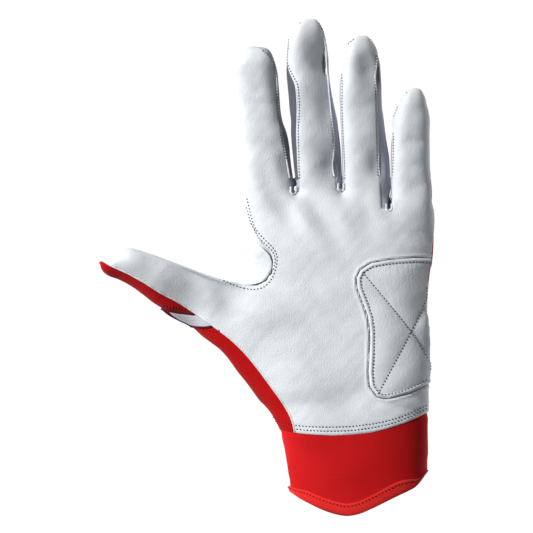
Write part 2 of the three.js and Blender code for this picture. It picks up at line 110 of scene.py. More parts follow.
# Each finger: row, left column, right column
FINGERS = {
    "index": [
        (250, 252, 290), (225, 248, 291), (205, 245.5, 293), (192, 243, 294.3), (180, 242.8, 293.3),
        (168, 242, 291.5), (156, 241.7, 290), (144, 240.3, 289), (132, 238.5, 287), (120, 236.3, 283),
        (108, 235, 281), (96, 234, 280), (84, 232.5, 279), (72, 231, 278), (64, 232.8, 276.2),
        (60, 234.2, 275), (56, 237, 273.6), (52, 241, 271.6), (48.5, 245.5, 268.5), (46, 251.5, 262),
    ],
    "middle": [
        (250, 301, 339), (225, 299.5, 340), (205, 298.4, 340.8), (192, 297.4, 341.3), (180, 295.8, 341.8),
        (168, 294.2, 341.7), (156, 293, 341.2), (144, 291.7, 340.4), (132, 290.6, 339.2),
        (120, 290.5, 337.7), (108, 289, 335.3), (96, 288, 333), (84, 286.8, 331), (72, 286, 329.5),
        (60, 286.6, 329),
        (50, 287, 328), (44, 287.4, 327.2), (39, 288.3, 325.8), (34, 290.2, 324.5), (29, 293, 323.3),
        (25, 296.8, 321.3), (21, 301.8, 318.4), (18.3, 307.4, 315),
    ],
    "ring": [
        (250, 345, 383), (225, 344, 386), (205, 343.4, 389.4), (192, 342.8, 390.3), (180, 342.5, 390.3),
        (168, 342.3, 389.9), (156, 342, 389), (144, 341.7, 387.2), (132, 341, 386), (120, 340, 384.8),
        (108, 339.6, 383), (96, 339, 382.2), (84, 339.4, 382), (72, 341.4, 381.4), (64, 342.6, 380.8),
        (56, 344.2, 379), (50, 344.8, 377), (45, 347, 374.8), (40.5, 350.6, 372), (37, 355.6, 369),
        (35, 360, 366),
    ],
    "little": [
        (262, 394, 429), (240, 392, 431.5), (215, 390.8, 432), (204, 390.6, 432), (192, 390.9, 432),
        (180, 391, 431), (168, 391, 429.8), (156, 391.2, 429.7), (144, 391.4, 429.5), (132, 392.2, 429.7),
        (120, 392.6, 430), (112, 394.4, 429), (104, 398.6, 427), (97, 402.4, 425.4), (92, 406.4, 423),
        (89, 410.4, 420.8), (87.4, 414, 418),
    ],
}
FINGER_HEIGHT = [(262, 13.0), (190, 13.0), (110, 14.8), (17, 17.0)]  # axis height by row, mm
FINGER_DEPTH = [(262, 18.0), (180, 18.0), (60, 15.6), (17, 15.0)]  # back to front by row, mm
FINGER_POWER = 2.6
# How far a fingertip rolls outwards: mm down for each mm to the right
FINGER_LEAN = {"index": 0.05, "middle": 0.17, "ring": 0.17, "little": 0.1}
FINGER_END = 20  # pixels over which a fingertip reaches its full depth
FINGER_SWELL = 0.3  # mm that a stall is wider than drawn near the hand
# The thumb's upper and lower outline, column and row, from its base to its tip
THUMB_UPPER = [
    (300, 300), (262, 288), (240, 283), (225, 280.5), (210, 276), (199, 272), (189, 268), (179, 264.3),
    (169, 260.5), (159, 257), (149, 253.6), (139, 250.3), (131, 248.3), (124, 249.5), (117, 253.5),
    (109, 257.5), (100.5, 258.8),
]
THUMB_LOWER = [
    (262, 398), (249, 382), (239, 371), (230, 360.3), (221.5, 352.3), (210, 343.8), (201, 337),
    (191, 327.7), (180, 322), (168.5, 315.5), (161, 309.5), (152, 303.5), (144, 297), (131, 287.3),
    (118.5, 280.6), (107, 276.2), (102, 272), (98.5, 265),
]
THUMB_ORIGIN = (250, 320)
THUMB_AIM = (-0.915, -0.403)
THUMB_TILT = 0.36
THUMB_ROUND = 8.5  # mm over which the thumb's end reaches its full depth
# Axis height and back to front in mm, by pixels along the thumb
THUMB_HEIGHT = [(-70, 15.0), (-20, 17.0), (20, 17.8), (60, 19.6), (110, 23.6), (152, 25.0)]
THUMB_DEPTH = [(-70, 14.0), (-20, 25.0), (20, 27.0), (60, 24.0), (110, 20.5), (145, 18.0), (152, 16.0)]
THUMB_POWER = 2.2
# Gap between two finger bases: lowest point of the leather edge (column, row)
NOTCHES = {"index_middle": (293.5, 193), "middle_ring": (341, 189.5), "ring_little": (389, 210)}
# How far each gap leans right, and how many mm narrower it is away from its foot
NOTCH_LEAN = {"index_middle": 0.067, "middle_ring": 0.1, "ring_little": 0.07}
NOTCH_TIGHT = {"index_middle": 0.0, "middle_ring": 0.4, "ring_little": 0.4}
NOTCH_FOOT = 1.6  # mm above its lowest point at which a gap's round foot has its centre
# Half width of a gap in mm at the back and how much is added towards the palm, between these heights
NOTCH_BACK, NOTCH_OPENING, NOTCH_HEIGHTS = -0.8, 1.5, (11, 19)
# Fillets in mm where the hand meets its finger end, the fingers, the thumb and the gaps
END_FILLET, FINGER_FILLET, THUMB_FILLET, NOTCH_FILLET = 3.0, 4.0, 6.0, 0.9


def column(pixels):
    """Millimetres across for a pixel column."""
    return (np.asarray(pixels, float) - CENTRE_COLUMN) * PIXEL


def row(pixels):
    """Millimetres up the hand for a pixel row."""
    return (CENTRE_ROW - np.asarray(pixels, float)) * PIXEL


def plan(points):
    """Column and row pixels as x, y in millimetres."""
    points = np.asarray(points, float)
    return np.stack([column(points[:, 0]), row(points[:, 1])], 1)


def gap_middle(key, y):
    """Where the gap between two fingers has its middle across, in mm, at heights up the hand."""
    x, foot = plan([NOTCHES[key]])[0]
    return x + NOTCH_LEAN[key] * np.maximum(y - foot, 0)


def smooth_table(keys, values, at):
    """Values read off a smooth curve through a table, held level past its ends."""
    keys, values = np.asarray(keys, float), np.asarray(values, float)
    if keys[0] > keys[-1]:
        keys, values = keys[::-1], values[::-1]
    slope = np.gradient(values, keys)
    at = np.clip(at, keys[0], keys[-1])
    i = np.clip(np.searchsorted(keys, at) - 1, 0, len(keys) - 2)
    span = keys[i + 1] - keys[i]
    t = (at - keys[i]) / span
    a, b = values[i], values[i + 1]
    return (
        a * (1 + 2 * t) * (1 - t) ** 2
        + b * t * t * (3 - 2 * t)
        + span * t * (1 - t) * (slope[i] * (1 - t) - slope[i + 1] * t)
    )


def step(low, high, value):
    """0 below low, 1 above high and a smooth ramp between."""
    t = np.clip((value - low) / (high - low), 0, 1)
    return t * t * (3 - 2 * t)


def soft_min(a, b, width):
    """The smaller of two distances with a fillet of about that width."""
    h = np.clip(0.5 + 0.5 * (b - a) / width, 0, 1)
    return b * (1 - h) + a * h - width * h * (1 - h)


def trunk_section(y):
    """Centre x, half width, centre z and half depth of the hand and wrist in mm at a height y."""
    rows = CENTRE_ROW - np.asarray(y, float) / PIXEL
    keys, left, right, back, palm = np.array(TRUNK).T
    left, right = smooth_table(keys, column(left), rows), smooth_table(keys, column(right), rows)
    low, high = smooth_table(keys, back, rows), smooth_table(keys, palm, rows)
    return (left + right) / 2, (right - left) / 2, (low + high) / 2, (high - low) / 2


def finger_frame(name, rows):
    """Centre column, half width, axis height and half depth in mm, over pixel rows."""
    table = np.array(FINGERS[name])
    left, right = column(table[:, 1]), column(table[:, 2])
    tip = table[-1, 0] - 0.4
    # Near its round end a finger's half width goes as the root of the distance, so its square is read
    square = smooth_table(np.append(table[:, 0], tip), np.append((right - left) ** 2 / 4, 0), rows)
    square = np.where(rows < tip, (rows - tip) * 8, square)
    half = np.sqrt(np.maximum(square, 0.04)) + FINGER_SWELL * step(125, 150, rows)
    centre = smooth_table(table[:, 0], (left + right) / 2, rows)
    height = smooth_table(*np.array(FINGER_HEIGHT).T, rows)
    depth = smooth_table(*np.array(FINGER_DEPTH).T, rows) / 2
    rise = np.clip((rows - tip) / FINGER_END, 0, 1)
    depth = depth * np.sqrt(np.maximum(1 - (1 - rise) ** 2, 0.0009))
    return centre, half, height, depth


def finger_lean(name, rows):
    """How much a finger's skin drops for each mm to the right of its middle, fading out at the hand."""
    return FINGER_LEAN[name] * step(205, 150, rows)


def thumb_frame(x, y):
    """Pixels along the thumb, and its centre offset, half width, height and half depth in mm there."""
    origin = plan([THUMB_ORIGIN])[0]
    aim = np.array([THUMB_AIM[0], -THUMB_AIM[1]])
    side = np.array([-aim[1], aim[0]])
    side = -side if side[1] < 0 else side
    along = (x - origin[0]) * aim[0] + (y - origin[1]) * aim[1]
    offset = (x - origin[0]) * side[0] + (y - origin[1]) * side[1]

    def edge(points):
        p = plan(points) - origin
        t, w = p @ aim, p @ side
        order = np.argsort(t)
        return t[order], w[order]

    upper, lower = edge(THUMB_UPPER), edge(THUMB_LOWER)
    high = smooth_table(*upper, along)
    low = smooth_table(*lower, along)
    pixels = along / PIXEL
    height = smooth_table(*np.array(THUMB_HEIGHT).T, pixels)
    depth = smooth_table(*np.array(THUMB_DEPTH).T, pixels) / 2
    end = max(upper[0][-1], lower[0][-1])
    rise = np.clip((end + 0.8 - along) / THUMB_ROUND, 0, 1)
    close = np.sqrt(np.clip(1 - (1 - rise) ** 2, 0, 1))
    depth = depth * np.clip(close, 0.08, 1)
    width = np.maximum((high - low) / 2 * np.clip(close * 1.6, 0.2, 1), 0.3)
    offset = offset - (high + low) / 2
    # The thumb is turned about its length, so its pad looks down the hand
    height = height + THUMB_TILT * offset * step(5, 30, along)
    return along, offset, width, height, depth, end - along


def section(u, v, half_u, half_v, power):
    """Superellipse measure: 1 on the outline, less inside."""
    return ((np.abs(u) / half_u) ** power + (np.abs(v) / half_v) ** power) ** (1 / power)


def as_distance(measure, cell):
    """A measure that is 1 on a surface, turned into millimetres from it."""
    measure = np.minimum(measure, 1.7)
    steep = np.sqrt(sum(slope * slope for slope in np.gradient(measure, cell)))
    return (measure - 1) / np.maximum(steep, 0.03)


class HandForm:
    """The glove's outer skin as distances on a grid over part of the hand."""

    def __init__(self, low, high, cell, digits):
        self.low = np.array(low, float)
        self.cell = cell
        counts = [int(math.ceil((h - l) / cell)) + 1 for l, h in zip(low, high)]
        self.axes = [l + cell * np.arange(n) for l, n in zip(low, counts)]
        self.x, self.y, self.z = np.meshgrid(*self.axes, indexing="ij")
        field = self.trunk()
        fingers = [self.finger(name) for name in digits if name != "thumb"]
        field = soft_min(field, np.minimum.reduce(fingers), FINGER_FILLET)
        if "thumb" in digits:
            field = soft_min(field, self.thumb(), THUMB_FILLET)
        if len(digits) > 1:
            slots = np.maximum.reduce([self.slot(key) for key in NOTCHES])
            field = -soft_min(-field, -slots, NOTCH_FILLET)
        self.field = np.maximum(field, -self.z)
        self.slopes = np.gradient(self.field, cell)

    def trunk(self):
        """Distances from the palm and wrist, which end on a slant between the finger bases."""
        middle, half, height, depth = (part[None, :, None] for part in trunk_section(self.axes[1]))
        measure = section(self.x - middle, self.z - height, half, depth, TRUNK_POWER)
        start, end, fall = TRUNK_END_FALL
        share = np.clip((self.x - column(start)) / (column(end) - column(start)), 0, 1)
        beyond_end = self.y - (row(TRUNK[0][0]) - share * fall * PIXEL)
        return -soft_min(-as_distance(measure, self.cell), -beyond_end, END_FILLET)

    def finger(self, name):
        """Distances from one finger, with its tip rolled outwards."""
        rows = CENTRE_ROW - self.axes[1] / PIXEL
        middle, half, height, depth = (part[None, :, None] for part in finger_frame(name, rows))
        across = self.x - middle
        drop = across * finger_lean(name, rows)[None, :, None]
        measure = section(across, self.z - height + drop, np.maximum(half, 0.6), depth, FINGER_POWER)
        foot, tip = row(FINGERS[name][0][0]), row(FINGERS[name][-1][0])
        return np.maximum(np.maximum(as_distance(measure, self.cell), self.y - tip), foot - self.y)

    def thumb(self):
        """Distances from the thumb, from inside the hand to its tip."""
        along, offset, width, height, depth, left_over = thumb_frame(self.x, self.y)
        measure = section(offset, self.z - height, width, depth, THUMB_POWER)
        one = np.maximum(as_distance(measure, self.cell), -left_over - 0.6)
        return np.maximum(one, -along - 30)

    def slot(self, key):
        """How far inside the gap between two fingers; it opens towards the palm."""
        x, foot = plan([NOTCHES[key]])[0]
        up = self.y - foot
        opening = NOTCH_OPENING - NOTCH_TIGHT[key] * step(4, 13, up)
        wide = NOTCH_BACK + opening * step(*NOTCH_HEIGHTS, self.z)
        beside = np.abs(self.x - gap_middle(key, self.y))
        return wide - np.where(up > NOTCH_FOOT, beside, np.hypot(self.x - x, up - NOTCH_FOOT))

    def at(self, grid, points):
        """A grid of values read at points between its cells."""
        t = (points - self.low) / self.cell
        i = np.clip(np.floor(t).astype(int), 0, np.array(grid.shape) - 2)
        t = np.clip(t - i, 0, 1)
        total = 0
        for corner in range(8):
            d = np.array([corner & 1, corner >> 1 & 1, corner >> 2 & 1])
            share = np.prod(np.where(d, t, 1 - t), 1)
            total = total + share * grid[tuple((i + d).T)]
        return total

    def normals(self, points):
        """Unit normals of the skin at points near it."""
        n = np.stack([self.at(s, points) for s in self.slopes], 1)
        return n / np.maximum(np.linalg.norm(n, axis=1, keepdims=True), 1e-9)

    def seated(self, points, rounds=3):
        """Points moved onto the skin."""
        for _ in range(rounds):
            slope = np.stack([self.at(s, points) for s in self.slopes], 1)
            value = self.at(self.field, points)
            points = points - slope * (value / np.maximum((slope**2).sum(1), 0.05))[:, None]
        return points

    def surface(self):
        """The skin as points and triangles: one point for each cell that it crosses."""
        values = self.field
        shape = np.array(values.shape)
        cells = shape - 1
        total = np.zeros((np.prod(cells), 3))
        count = np.zeros(np.prod(cells))
        crossings = []
        for axis in range(3):
            low = [slice(None)] * 3
            high = [slice(None)] * 3
            low[axis], high[axis] = slice(None, -1), slice(1, None)
            a, b = values[tuple(low)], values[tuple(high)]
            cross = np.argwhere((a < 0) != (b < 0))
            va, vb = a[tuple(cross.T)], b[tuple(cross.T)]
            place = cross.astype(float)
            place[:, axis] += va / (va - vb)
            others = [k for k in range(3) if k != axis]
            fits = np.ones(len(cross), bool)
            for k in others:
                fits &= (cross[:, k] > 0) & (cross[:, k] < cells[k])
            cross, place, va = cross[fits], place[fits], va[fits]
            corners = []
            for shift in ((-1, -1), (0, -1), (0, 0), (-1, 0)):
                cell = cross.copy()
                cell[:, others[0]] += shift[0]
                cell[:, others[1]] += shift[1]
                flat = np.ravel_multi_index(cell.T, cells)
                corners.append(flat)
                for k in range(3):
                    total[:, k] += np.bincount(flat, place[:, k], len(total))
                count += np.bincount(flat, minlength=len(count))
            quads = np.stack(corners, 1)
            turned = (va < 0) if axis != 1 else (va >= 0)
            quads[~turned] = quads[~turned][:, ::-1]
            crossings.append(quads)
        quads = np.concatenate(crossings)
        used = np.unique(quads)
        number = np.full(len(total), -1)
        number[used] = np.arange(len(used))
        points = total[used] / count[used][:, None] * self.cell + self.low
        quads = number[quads]
        points = self.seated(points)
        return points, np.concatenate([quads[:, [0, 1, 2]], quads[:, [0, 2, 3]]])


def clipped(points, faces, value):
    """The part of a triangle skin where value is below zero, cut cleanly along zero."""
    inside = value[faces] < 0
    count = inside.sum(1)
    whole = faces[count == 3]
    split = (count == 1) | (count == 2)
    mixed, flags = faces[split], inside[split]
    single = count[split] == 1
    odd = np.where(single, flags.argmax(1), (~flags).argmax(1))
    turned = np.take_along_axis(mixed, (odd[:, None] + np.arange(3)) % 3, 1)
    a, b, c = turned.T
    edges = np.sort(np.concatenate([np.stack([a, b], 1), np.stack([a, c], 1)]), 1)
    unique, inverse = np.unique(edges, axis=0, return_inverse=True)
    inverse = inverse.reshape(-1)
    va, vb = value[unique[:, 0]], value[unique[:, 1]]
    t = (va / (va - vb))[:, None]
    added = points[unique[:, 0]] * (1 - t) + points[unique[:, 1]] * t
    ab, ac = len(points) + inverse[: len(a)], len(points) + inverse[len(a) :]
    parts = [
        whole,
        np.stack([a, ab, ac], 1)[single],
        np.stack([ab, b, c], 1)[~single],
        np.stack([ab, c, ac], 1)[~single],
    ]
    faces = np.concatenate(parts)
    points = np.concatenate([points, added])
    used, faces = np.unique(faces, return_inverse=True)
    return points[used], faces.reshape(-1, 3)


def largest_part(points, faces):
    """Only the connected part with the most faces."""
    label = np.arange(len(points))
    while True:
        low = label[faces].min(1)
        new = label.copy()
        np.minimum.at(new, faces.ravel(), np.repeat(low, 3))
        new = new[new]
        if (new == label).all():
            break
        label = new
    names, counts = np.unique(label[faces[:, 0]], return_counts=True)
    faces = faces[label[faces[:, 0]] == names[counts.argmax()]]
    used, faces = np.unique(faces, return_inverse=True)
    return points[used], faces.reshape(-1, 3)


def plan_distance(path, points, closed=False):
    """Signed millimetres in plan from a path: positive on its left, or outside a closed outline."""
    path = np.asarray(path, float)
    ends = np.roll(path, -1, 0) if closed else path[1:]
    starts = path if closed else path[:-1]
    xy = points[:, :2]
    nearest = np.full(len(xy), 1e9)
    sign = np.ones(len(xy))
    for a, b in zip(starts, ends):
        along = b - a
        t = np.clip(((xy - a) @ along) / (along @ along), 0, 1)
        gap = xy - a - t[:, None] * along
        distance = np.hypot(gap[:, 0], gap[:, 1])
        cross = along[0] * (xy[:, 1] - a[1]) - along[1] * (xy[:, 0] - a[0])
        closer = distance < nearest - 1e-9
        nearest = np.where(closer, distance, nearest)
        sign = np.where(closer, np.sign(cross), sign)
    if not closed:
        return nearest * sign
    inside = np.zeros(len(xy), bool)
    for a, b in zip(starts, ends):
        crosses = (a[1] > xy[:, 1]) != (b[1] > xy[:, 1])
        at = a[0] + (xy[:, 1] - a[1]) * (b[0] - a[0]) / ((b[1] - a[1]) or 1e-9)
        inside ^= crosses & (xy[:, 0] < at)
    return np.where(inside, -nearest, nearest)


def smooth_path(points, spacing=0.6):
    """A round curve through points, with even spacing in mm."""
    points = np.asarray(points, float)
    padded = np.concatenate([2 * points[:1] - points[1:2], points, 2 * points[-1:] - points[-2:-1]])
    dense = []
    for i in range(1, len(padded) - 2):
        a, b, c, d = padded[i - 1 : i + 3]
        for t in np.linspace(0, 1, 12, endpoint=False):
            bend, twist = 2 * a - 5 * b + 4 * c - d, 3 * b - a - 3 * c + d
            dense.append(0.5 * (2 * b + (c - a) * t + bend * t * t + twist * t**3))
    dense.append(padded[-2])
    dense = np.array(dense)
    run = np.concatenate([[0], np.cumsum(np.linalg.norm(np.diff(dense, axis=0), axis=1))])
    count = max(int(round(run[-1] / spacing)), 2)
    at = np.linspace(0, run[-1], count + 1)
    return np.stack([np.interp(at, run, dense[:, k]) for k in range(dense.shape[1])], 1)


# Seams of each finger front, left and right: row and column pixels, or None where it wraps round
FRONT_SEAMS = {
    "index": (
        None,
        [(250, 289.5), (192, 292), (170, 289.8), (139, 283.2), (108, 279.4), (97, 278.4), (70, 276.2),
         (60, 273), (50, 264), (46, 257)],
    ),
    "middle": (
        [(250, 301), (192, 299.4), (180, 298.4), (168, 297.6), (152, 297), (132, 296.3), (118, 296.8),
         (97, 296.6), (84, 294.8), (73, 289.8), (66, 287.6), (50, 287.6), (33, 290.9), (26, 296.2),
         (22, 300.8)],
        [(250, 337.5), (180, 336.6), (152, 335.7), (125, 333.7), (97, 331), (70, 328), (50, 326.8),
         (33, 324.2), (22, 319)],
    ),
    "ring": (
        [(250, 345), (180, 344), (139, 342.6), (97, 341), (60, 343), (50, 345), (44, 348), (38, 354.4)],
        [(250, 384), (198, 381.3), (152, 379.2), (111, 377.8), (77, 377), (56, 377.6), (48, 377),
         (38, 371)],
    ),
    "little": (
        [(250, 392), (195, 391.4), (167, 392), (139, 392.8), (117, 393.4), (104, 398.6), (93, 405)],
        None,
    ),
}
WRAP_TURN = {"index": 122.0, "little": 101.0}  # degrees from the top, where a front wraps its outer side
FOOT_TURN = 122.0  # degrees from the top, where a finger's back starts
# Middle of each crease, column and row, and the way in which its stall leaves the hand
CREASES = {
    "index": (267.5, 181),
    "middle": (318.5, 178),
    "ring": (364, 178),
    "little": (411, 199),
    "thumb": (229, 314),
}
CREASE_AIM = {
    "index": (-0.1009, 0.9949),
    "middle": (-0.0635, 0.998),
    "ring": (-0.0199, 0.9998),
    "little": (0.018, 0.9998),
    "thumb": (-0.8686, 0.4955),
}
# Outlines and seams in plan: column and row pixels
WHITE_EDGE = [
    (84, 251), (99, 259), (112, 266.6), (128, 274), (146, 284), (160, 293), (177, 302), (190, 310.5),
    (197, 315), (211, 325), (232, 341), (250, 359.5), (268, 383), (283, 404), (291, 419), (294.5, 434),
    (296, 450),
]
THUMB_MIDDLE = 16.5  # height in mm at which the thumb's front ends on its far side
GUSSET_FLOOR, KNUCKLE_TOP, WEB_FLOOR = 8.0, 10.0, 6.0  # heights in mm at which these pieces end
GUSSET = [
    (226, 206), (245, 206), (248, 214), (252, 225), (258, 236), (266, 247), (271.5, 255), (273, 262),
    (272, 270), (268, 277.5), (262, 283), (254, 286), (246, 285.5), (236, 282.5), (222, 279), (210, 260),
]
HEM = [
    (240, 430.6), (275, 430.6), (294, 432.2), (313, 433.9), (334, 434.6), (352, 433.8), (371, 431.6),
    (388, 427.6), (404, 422.6), (416, 417.6), (428, 412.1), (450, 401.6),
]
KNUCKLE = [(266, 222), (412, 226), (408, 262), (270, 262)]
SIDE_REGION = [
    (256, 262), (262, 300), (276, 340), (292, 385), (306, 445), (240, 445), (130, 400), (180, 290),
]
THUMB_REGION = [(262, 289), (240, 274), (200, 236), (60, 236), (60, 330), (160, 372), (217, 372)]
# Height of the palm leather's edge by row, on the thumb side and on the little finger's side
PALM_SEAM = [(600, 21.0), (434, 20.0), (360, 16.5), (286, 14.6), (226, 13.6), (190, 13.0), (17, 13.0)]
PALM_SEAM_OUTER = [
    (600, 21.0), (434, 20.0), (360, 16.5), (330, 16.0), (310, 16.8), (290, 18.2), (260, 18.9),
    (240, 17.6), (229, 15.6), (219, 13.6), (209, 14.2), (199, 16.2), (17, 16.2),
]
VENT = [
    (168, 311.8), (176, 314.2), (186, 315.4), (197, 316), (203, 320), (212, 326.5), (203, 327.5),
    (191, 326), (180, 321), (173, 316.4),
]
VENT_PIPING = [
    [(161, 308.6), (168, 310.2), (176, 311.6), (185, 312.9), (194, 314.2)],
    [(161, 308.8), (168, 314.4), (177, 320.6), (187, 325), (197, 327), (205, 327.2), (212, 326.4)],
]


def finger_turn(name, points):
    """Degrees round a finger from its top, positive to its left, its mean radius in mm and pixel rows."""
    rows = CENTRE_ROW - points[:, 1] / PIXEL
    middle, half, height, depth = finger_frame(name, rows)
    across = points[:, 0] - middle
    u, v = across / half, (points[:, 2] - height + across * finger_lean(name, rows)) / depth
    return np.degrees(np.arctan2(-u, v)), np.sqrt(half * depth), rows


def wrap_turn(name, rows):
    """Degrees from the top to where a front that wraps its finger's outer side ends."""
    turn = np.full(np.shape(rows), WRAP_TURN[name])
    return turn - 32 * step(170, 181, rows) if name == "little" else turn


def seam_turn(name, side, rows):
    """Degrees from the top to the edge of a finger's front on one side."""
    table = FRONT_SEAMS[name][side]
    if table is None:
        return wrap_turn(name, rows)
    table = np.array(table)
    at = smooth_table(table[:, 0], column(table[:, 1]), rows)
    middle, half, _, _ = finger_frame(name, rows)
    u = np.clip(np.abs(at - middle) / half, 0.1, 0.985)
    v = (1 - u**FINGER_POWER) ** (1 / FINGER_POWER)
    return np.degrees(np.arctan2(u, v))


def finger_seams(name, part):
    """Distances that are below zero on one part of a finger: front, back, left or right."""

    def arc(degrees, radius):
        return np.radians(degrees) * radius

    def front(points):
        turn, radius, rows = finger_turn(name, points)
        left, right = seam_turn(name, 0, rows), seam_turn(name, 1, rows)
        return np.maximum(arc(turn - left, radius), arc(-right - turn, radius))

    def back(points):
        turn, radius, rows = finger_turn(name, points)
        left = FOOT_TURN
        right = wrap_turn(name, rows) if name == "little" else FOOT_TURN
        return np.where(turn > 0, arc(left - turn, radius), arc(right + turn, radius))

    def strip(side):
        def inside(points):
            turn, radius, rows = finger_turn(name, points)
            turn = turn if side == 0 else -turn
            beyond_front = arc(seam_turn(name, side, rows) - turn, radius)
            return np.maximum(beyond_front, arc(turn - FOOT_TURN, radius))

        return inside

    return {"front": front, "back": back, "left": strip(0), "right": strip(1)}[part]


def beyond_crease(name, sign=1):
    """Below zero on the free side of a digit's crease, or on the hand's side with sign -1."""
    centre = plan([CREASES[name]])[0]
    aim = np.array(CREASE_AIM[name])
    return lambda points: -sign * ((points[:, :2] - centre) @ aim)


def between_gaps(name):
    """Below zero between the gaps on either side of a finger, above the finger's foot."""
    i = list(FINGERS).index(name)
    left, right = [None, *NOTCHES][i], [*NOTCHES, None][i]

    def inside(points):
        x, y = points[:, 0], points[:, 1]
        from_left = (gap_middle(left, y) if left else column(225)) - x
        from_right = x - (gap_middle(right, y) if right else 1e3)
        return np.max([from_left, from_right, row(236) - y], 0)

    return inside


def under(outline, sign=1):
    """Below zero inside a plan outline in pixels, or outside it with sign -1."""
    path = plan(outline)
    return lambda points: sign * plan_distance(path, points, True)


def above_seam(extra=0.0):
    """Below zero on the palm's side of its leather edge."""
    tables = [np.array(PALM_SEAM).T, np.array(PALM_SEAM_OUTER).T]

    def inside(points):
        rows = CENTRE_ROW - points[:, 1] / PIXEL
        inner, outer = (smooth_table(*table, rows) for table in tables)
        share = step(column(400), column(424), points[:, 0])
        return inner + (outer - inner) * share + extra - points[:, 2]

    return inside


def web_strip(key, side):
    """Below zero on the knit strip that runs down one side of a gap between two fingers, on the hand."""
    name = key.split("_")[side]
    table = np.array(FRONT_SEAMS[name][1 - side])
    sign = 1 if side else -1
    foot = plan([NOTCHES[key]])[0][1] + 0.6

    def inside(points):
        x, y, z = points[:, :3].T
        seam = smooth_table(table[:, 0], column(table[:, 1]), CENTRE_ROW - y / PIXEL)
        apart = sign * (gap_middle(key, y) - x)
        return np.max([sign * (x - seam), apart, foot - y, WEB_FLOOR - z], 0)

    return inside


def over(height, sign=1):
    """Below zero over a height in mm, or beneath it with sign -1."""
    return lambda points: sign * (height - points[:, 2])


def both(*parts):
    """Below zero where all the parts are."""
    return lambda points: np.max([part(points) for part in parts], 0)


def either(*parts):
    """Below zero where any of the parts is."""
    return lambda points: np.min([part(points) for part in parts], 0)


def outside(part):
    """Below zero where the part isn't."""
    return lambda points: -part(points)


def gusset_field():
    """Below zero on the crotch gusset, which ends above the back of the hand."""
    return both(under(GUSSET), over(GUSSET_FLOOR))


def off_fingers():
    """One cut for each finger, below zero on the hand's side of its crease."""
    return [outside(both(beyond_crease(name), between_gaps(name))) for name in FINGERS]


WHITE_FIELD = WHITE_EDGE + [(480, 450), (480, -40), (84, -40)]

# Folds and dents of the filled glove: column, row, reach along, reach across, turn in degrees, mm up
DENTS = [
    (275, 84, 6, 22, 8, -0.7), (258, 104, 14, 4, -8, -0.3), (268, 96, 10, 5, 5, 0.3),
    (277, 146, 8, 6, 14, -0.5), (262, 134, 16, 7, 8, 0.3), (284, 168, 6, 18, 6, -0.7),
    (254, 160, 9, 9, 0, 0.25), (262, 60, 12, 8, 20, 0.4), (324, 63, 13, 18, 26, -3.8),
    (302, 84, 12, 9, 20, 0.7), (300, 38, 10, 12, 24, 0.9), (328, 108, 8, 20, 4, -1.2),
    (306, 110, 10, 8, -10, -0.2), (306, 138, 14, 8, 4, 0.6), (332, 167, 11, 15, 4, -3.0),
    (308, 168, 8, 10, 0, 0.3), (370.5, 73, 11, 15, 16, -3.2), (354, 54, 10, 8, 30, 0.7),
    (354, 92, 12, 10, 0, 0.4), (370, 104, 10, 6, 6, -0.5), (358, 138, 14, 9, 0, 0.45),
    (377, 164, 8, 14, 4, -1.9), (421, 104, 8, 10, 10, -0.5), (404, 124, 8, 9, 0, 0.4),
    (418, 141, 12, 5, 6, -0.5), (406, 158, 13, 7, 0, 0.45), (419, 186, 10, 9, 4, -0.7),
    (278, 196, 10, 34, 30, -0.9), (262, 200, 7, 28, 36, 0.6), (318, 212, 9, 40, 33, -0.9),
    (300, 214, 8, 36, 30, 0.7), (342, 214, 9, 28, 20, 0.7), (366, 208, 8, 26, 10, -0.5),
    (390, 228, 16, 12, 0, 0.5), (412, 214, 14, 10, 0, 0.5), (318, 262, 44, 26, 0, -0.8),
    (330, 330, 46, 60, 0, -1.0), (322, 108, 8, 20, 4, -0.6), (268, 312, 26, 20, -35, 0.9),
    (236, 330, 14, 30, 50, -0.5), (258, 346, 22, 44, 35, -0.5), (290, 372, 14, 44, 30, 0.5),
    (300, 404, 34, 9, 8, -0.35), (306, 390, 28, 8, 8, 0.25), (350, 408, 40, 6, -6, -0.4),
    (358, 396, 26, 15, 8, -2.0), (222, 318, 14, 30, 58, -1.6), (134, 262, 15, 15, 0, 0.9),
    (190, 298, 24, 26, 0, -4.2), (230, 306, 17, 22, 0, -3.2), (430, 246, 14, 24, 0, -1.6),
    (240, 312, 16, 16, 0, 0.8), (300, 340, 16, 40, 25, 0.4), (200, 292, 6, 16, 50, -0.2),
    (214, 300, 6, 22, 40, 0.2), (150, 268, 7, 14, 20, -0.15), (228, 306, 5, 20, 40, -0.2),
    (408, 246, 20, 6, -8, 0.35), (418, 234, 14, 5, -20, -0.4), (399, 401, 24, 4.5, -14, 0.8),
    (376, 402, 8, 6, 40, -0.5), (394, 412, 30, 3.5, -14, 0.35),
]
# Waves over the whole skin: length in mm, slant, mm up and phase
RIPPLES = [
    (37, 0.11, 0.17, 0.3),
    (23, -0.2, 0.12, 1.7),
    (14, 0.55, 0.07, 4.1),
    (9.5, -0.8, 0.035, 2.2),
    (6.1, 0.3, 0.02, 5.0),
]


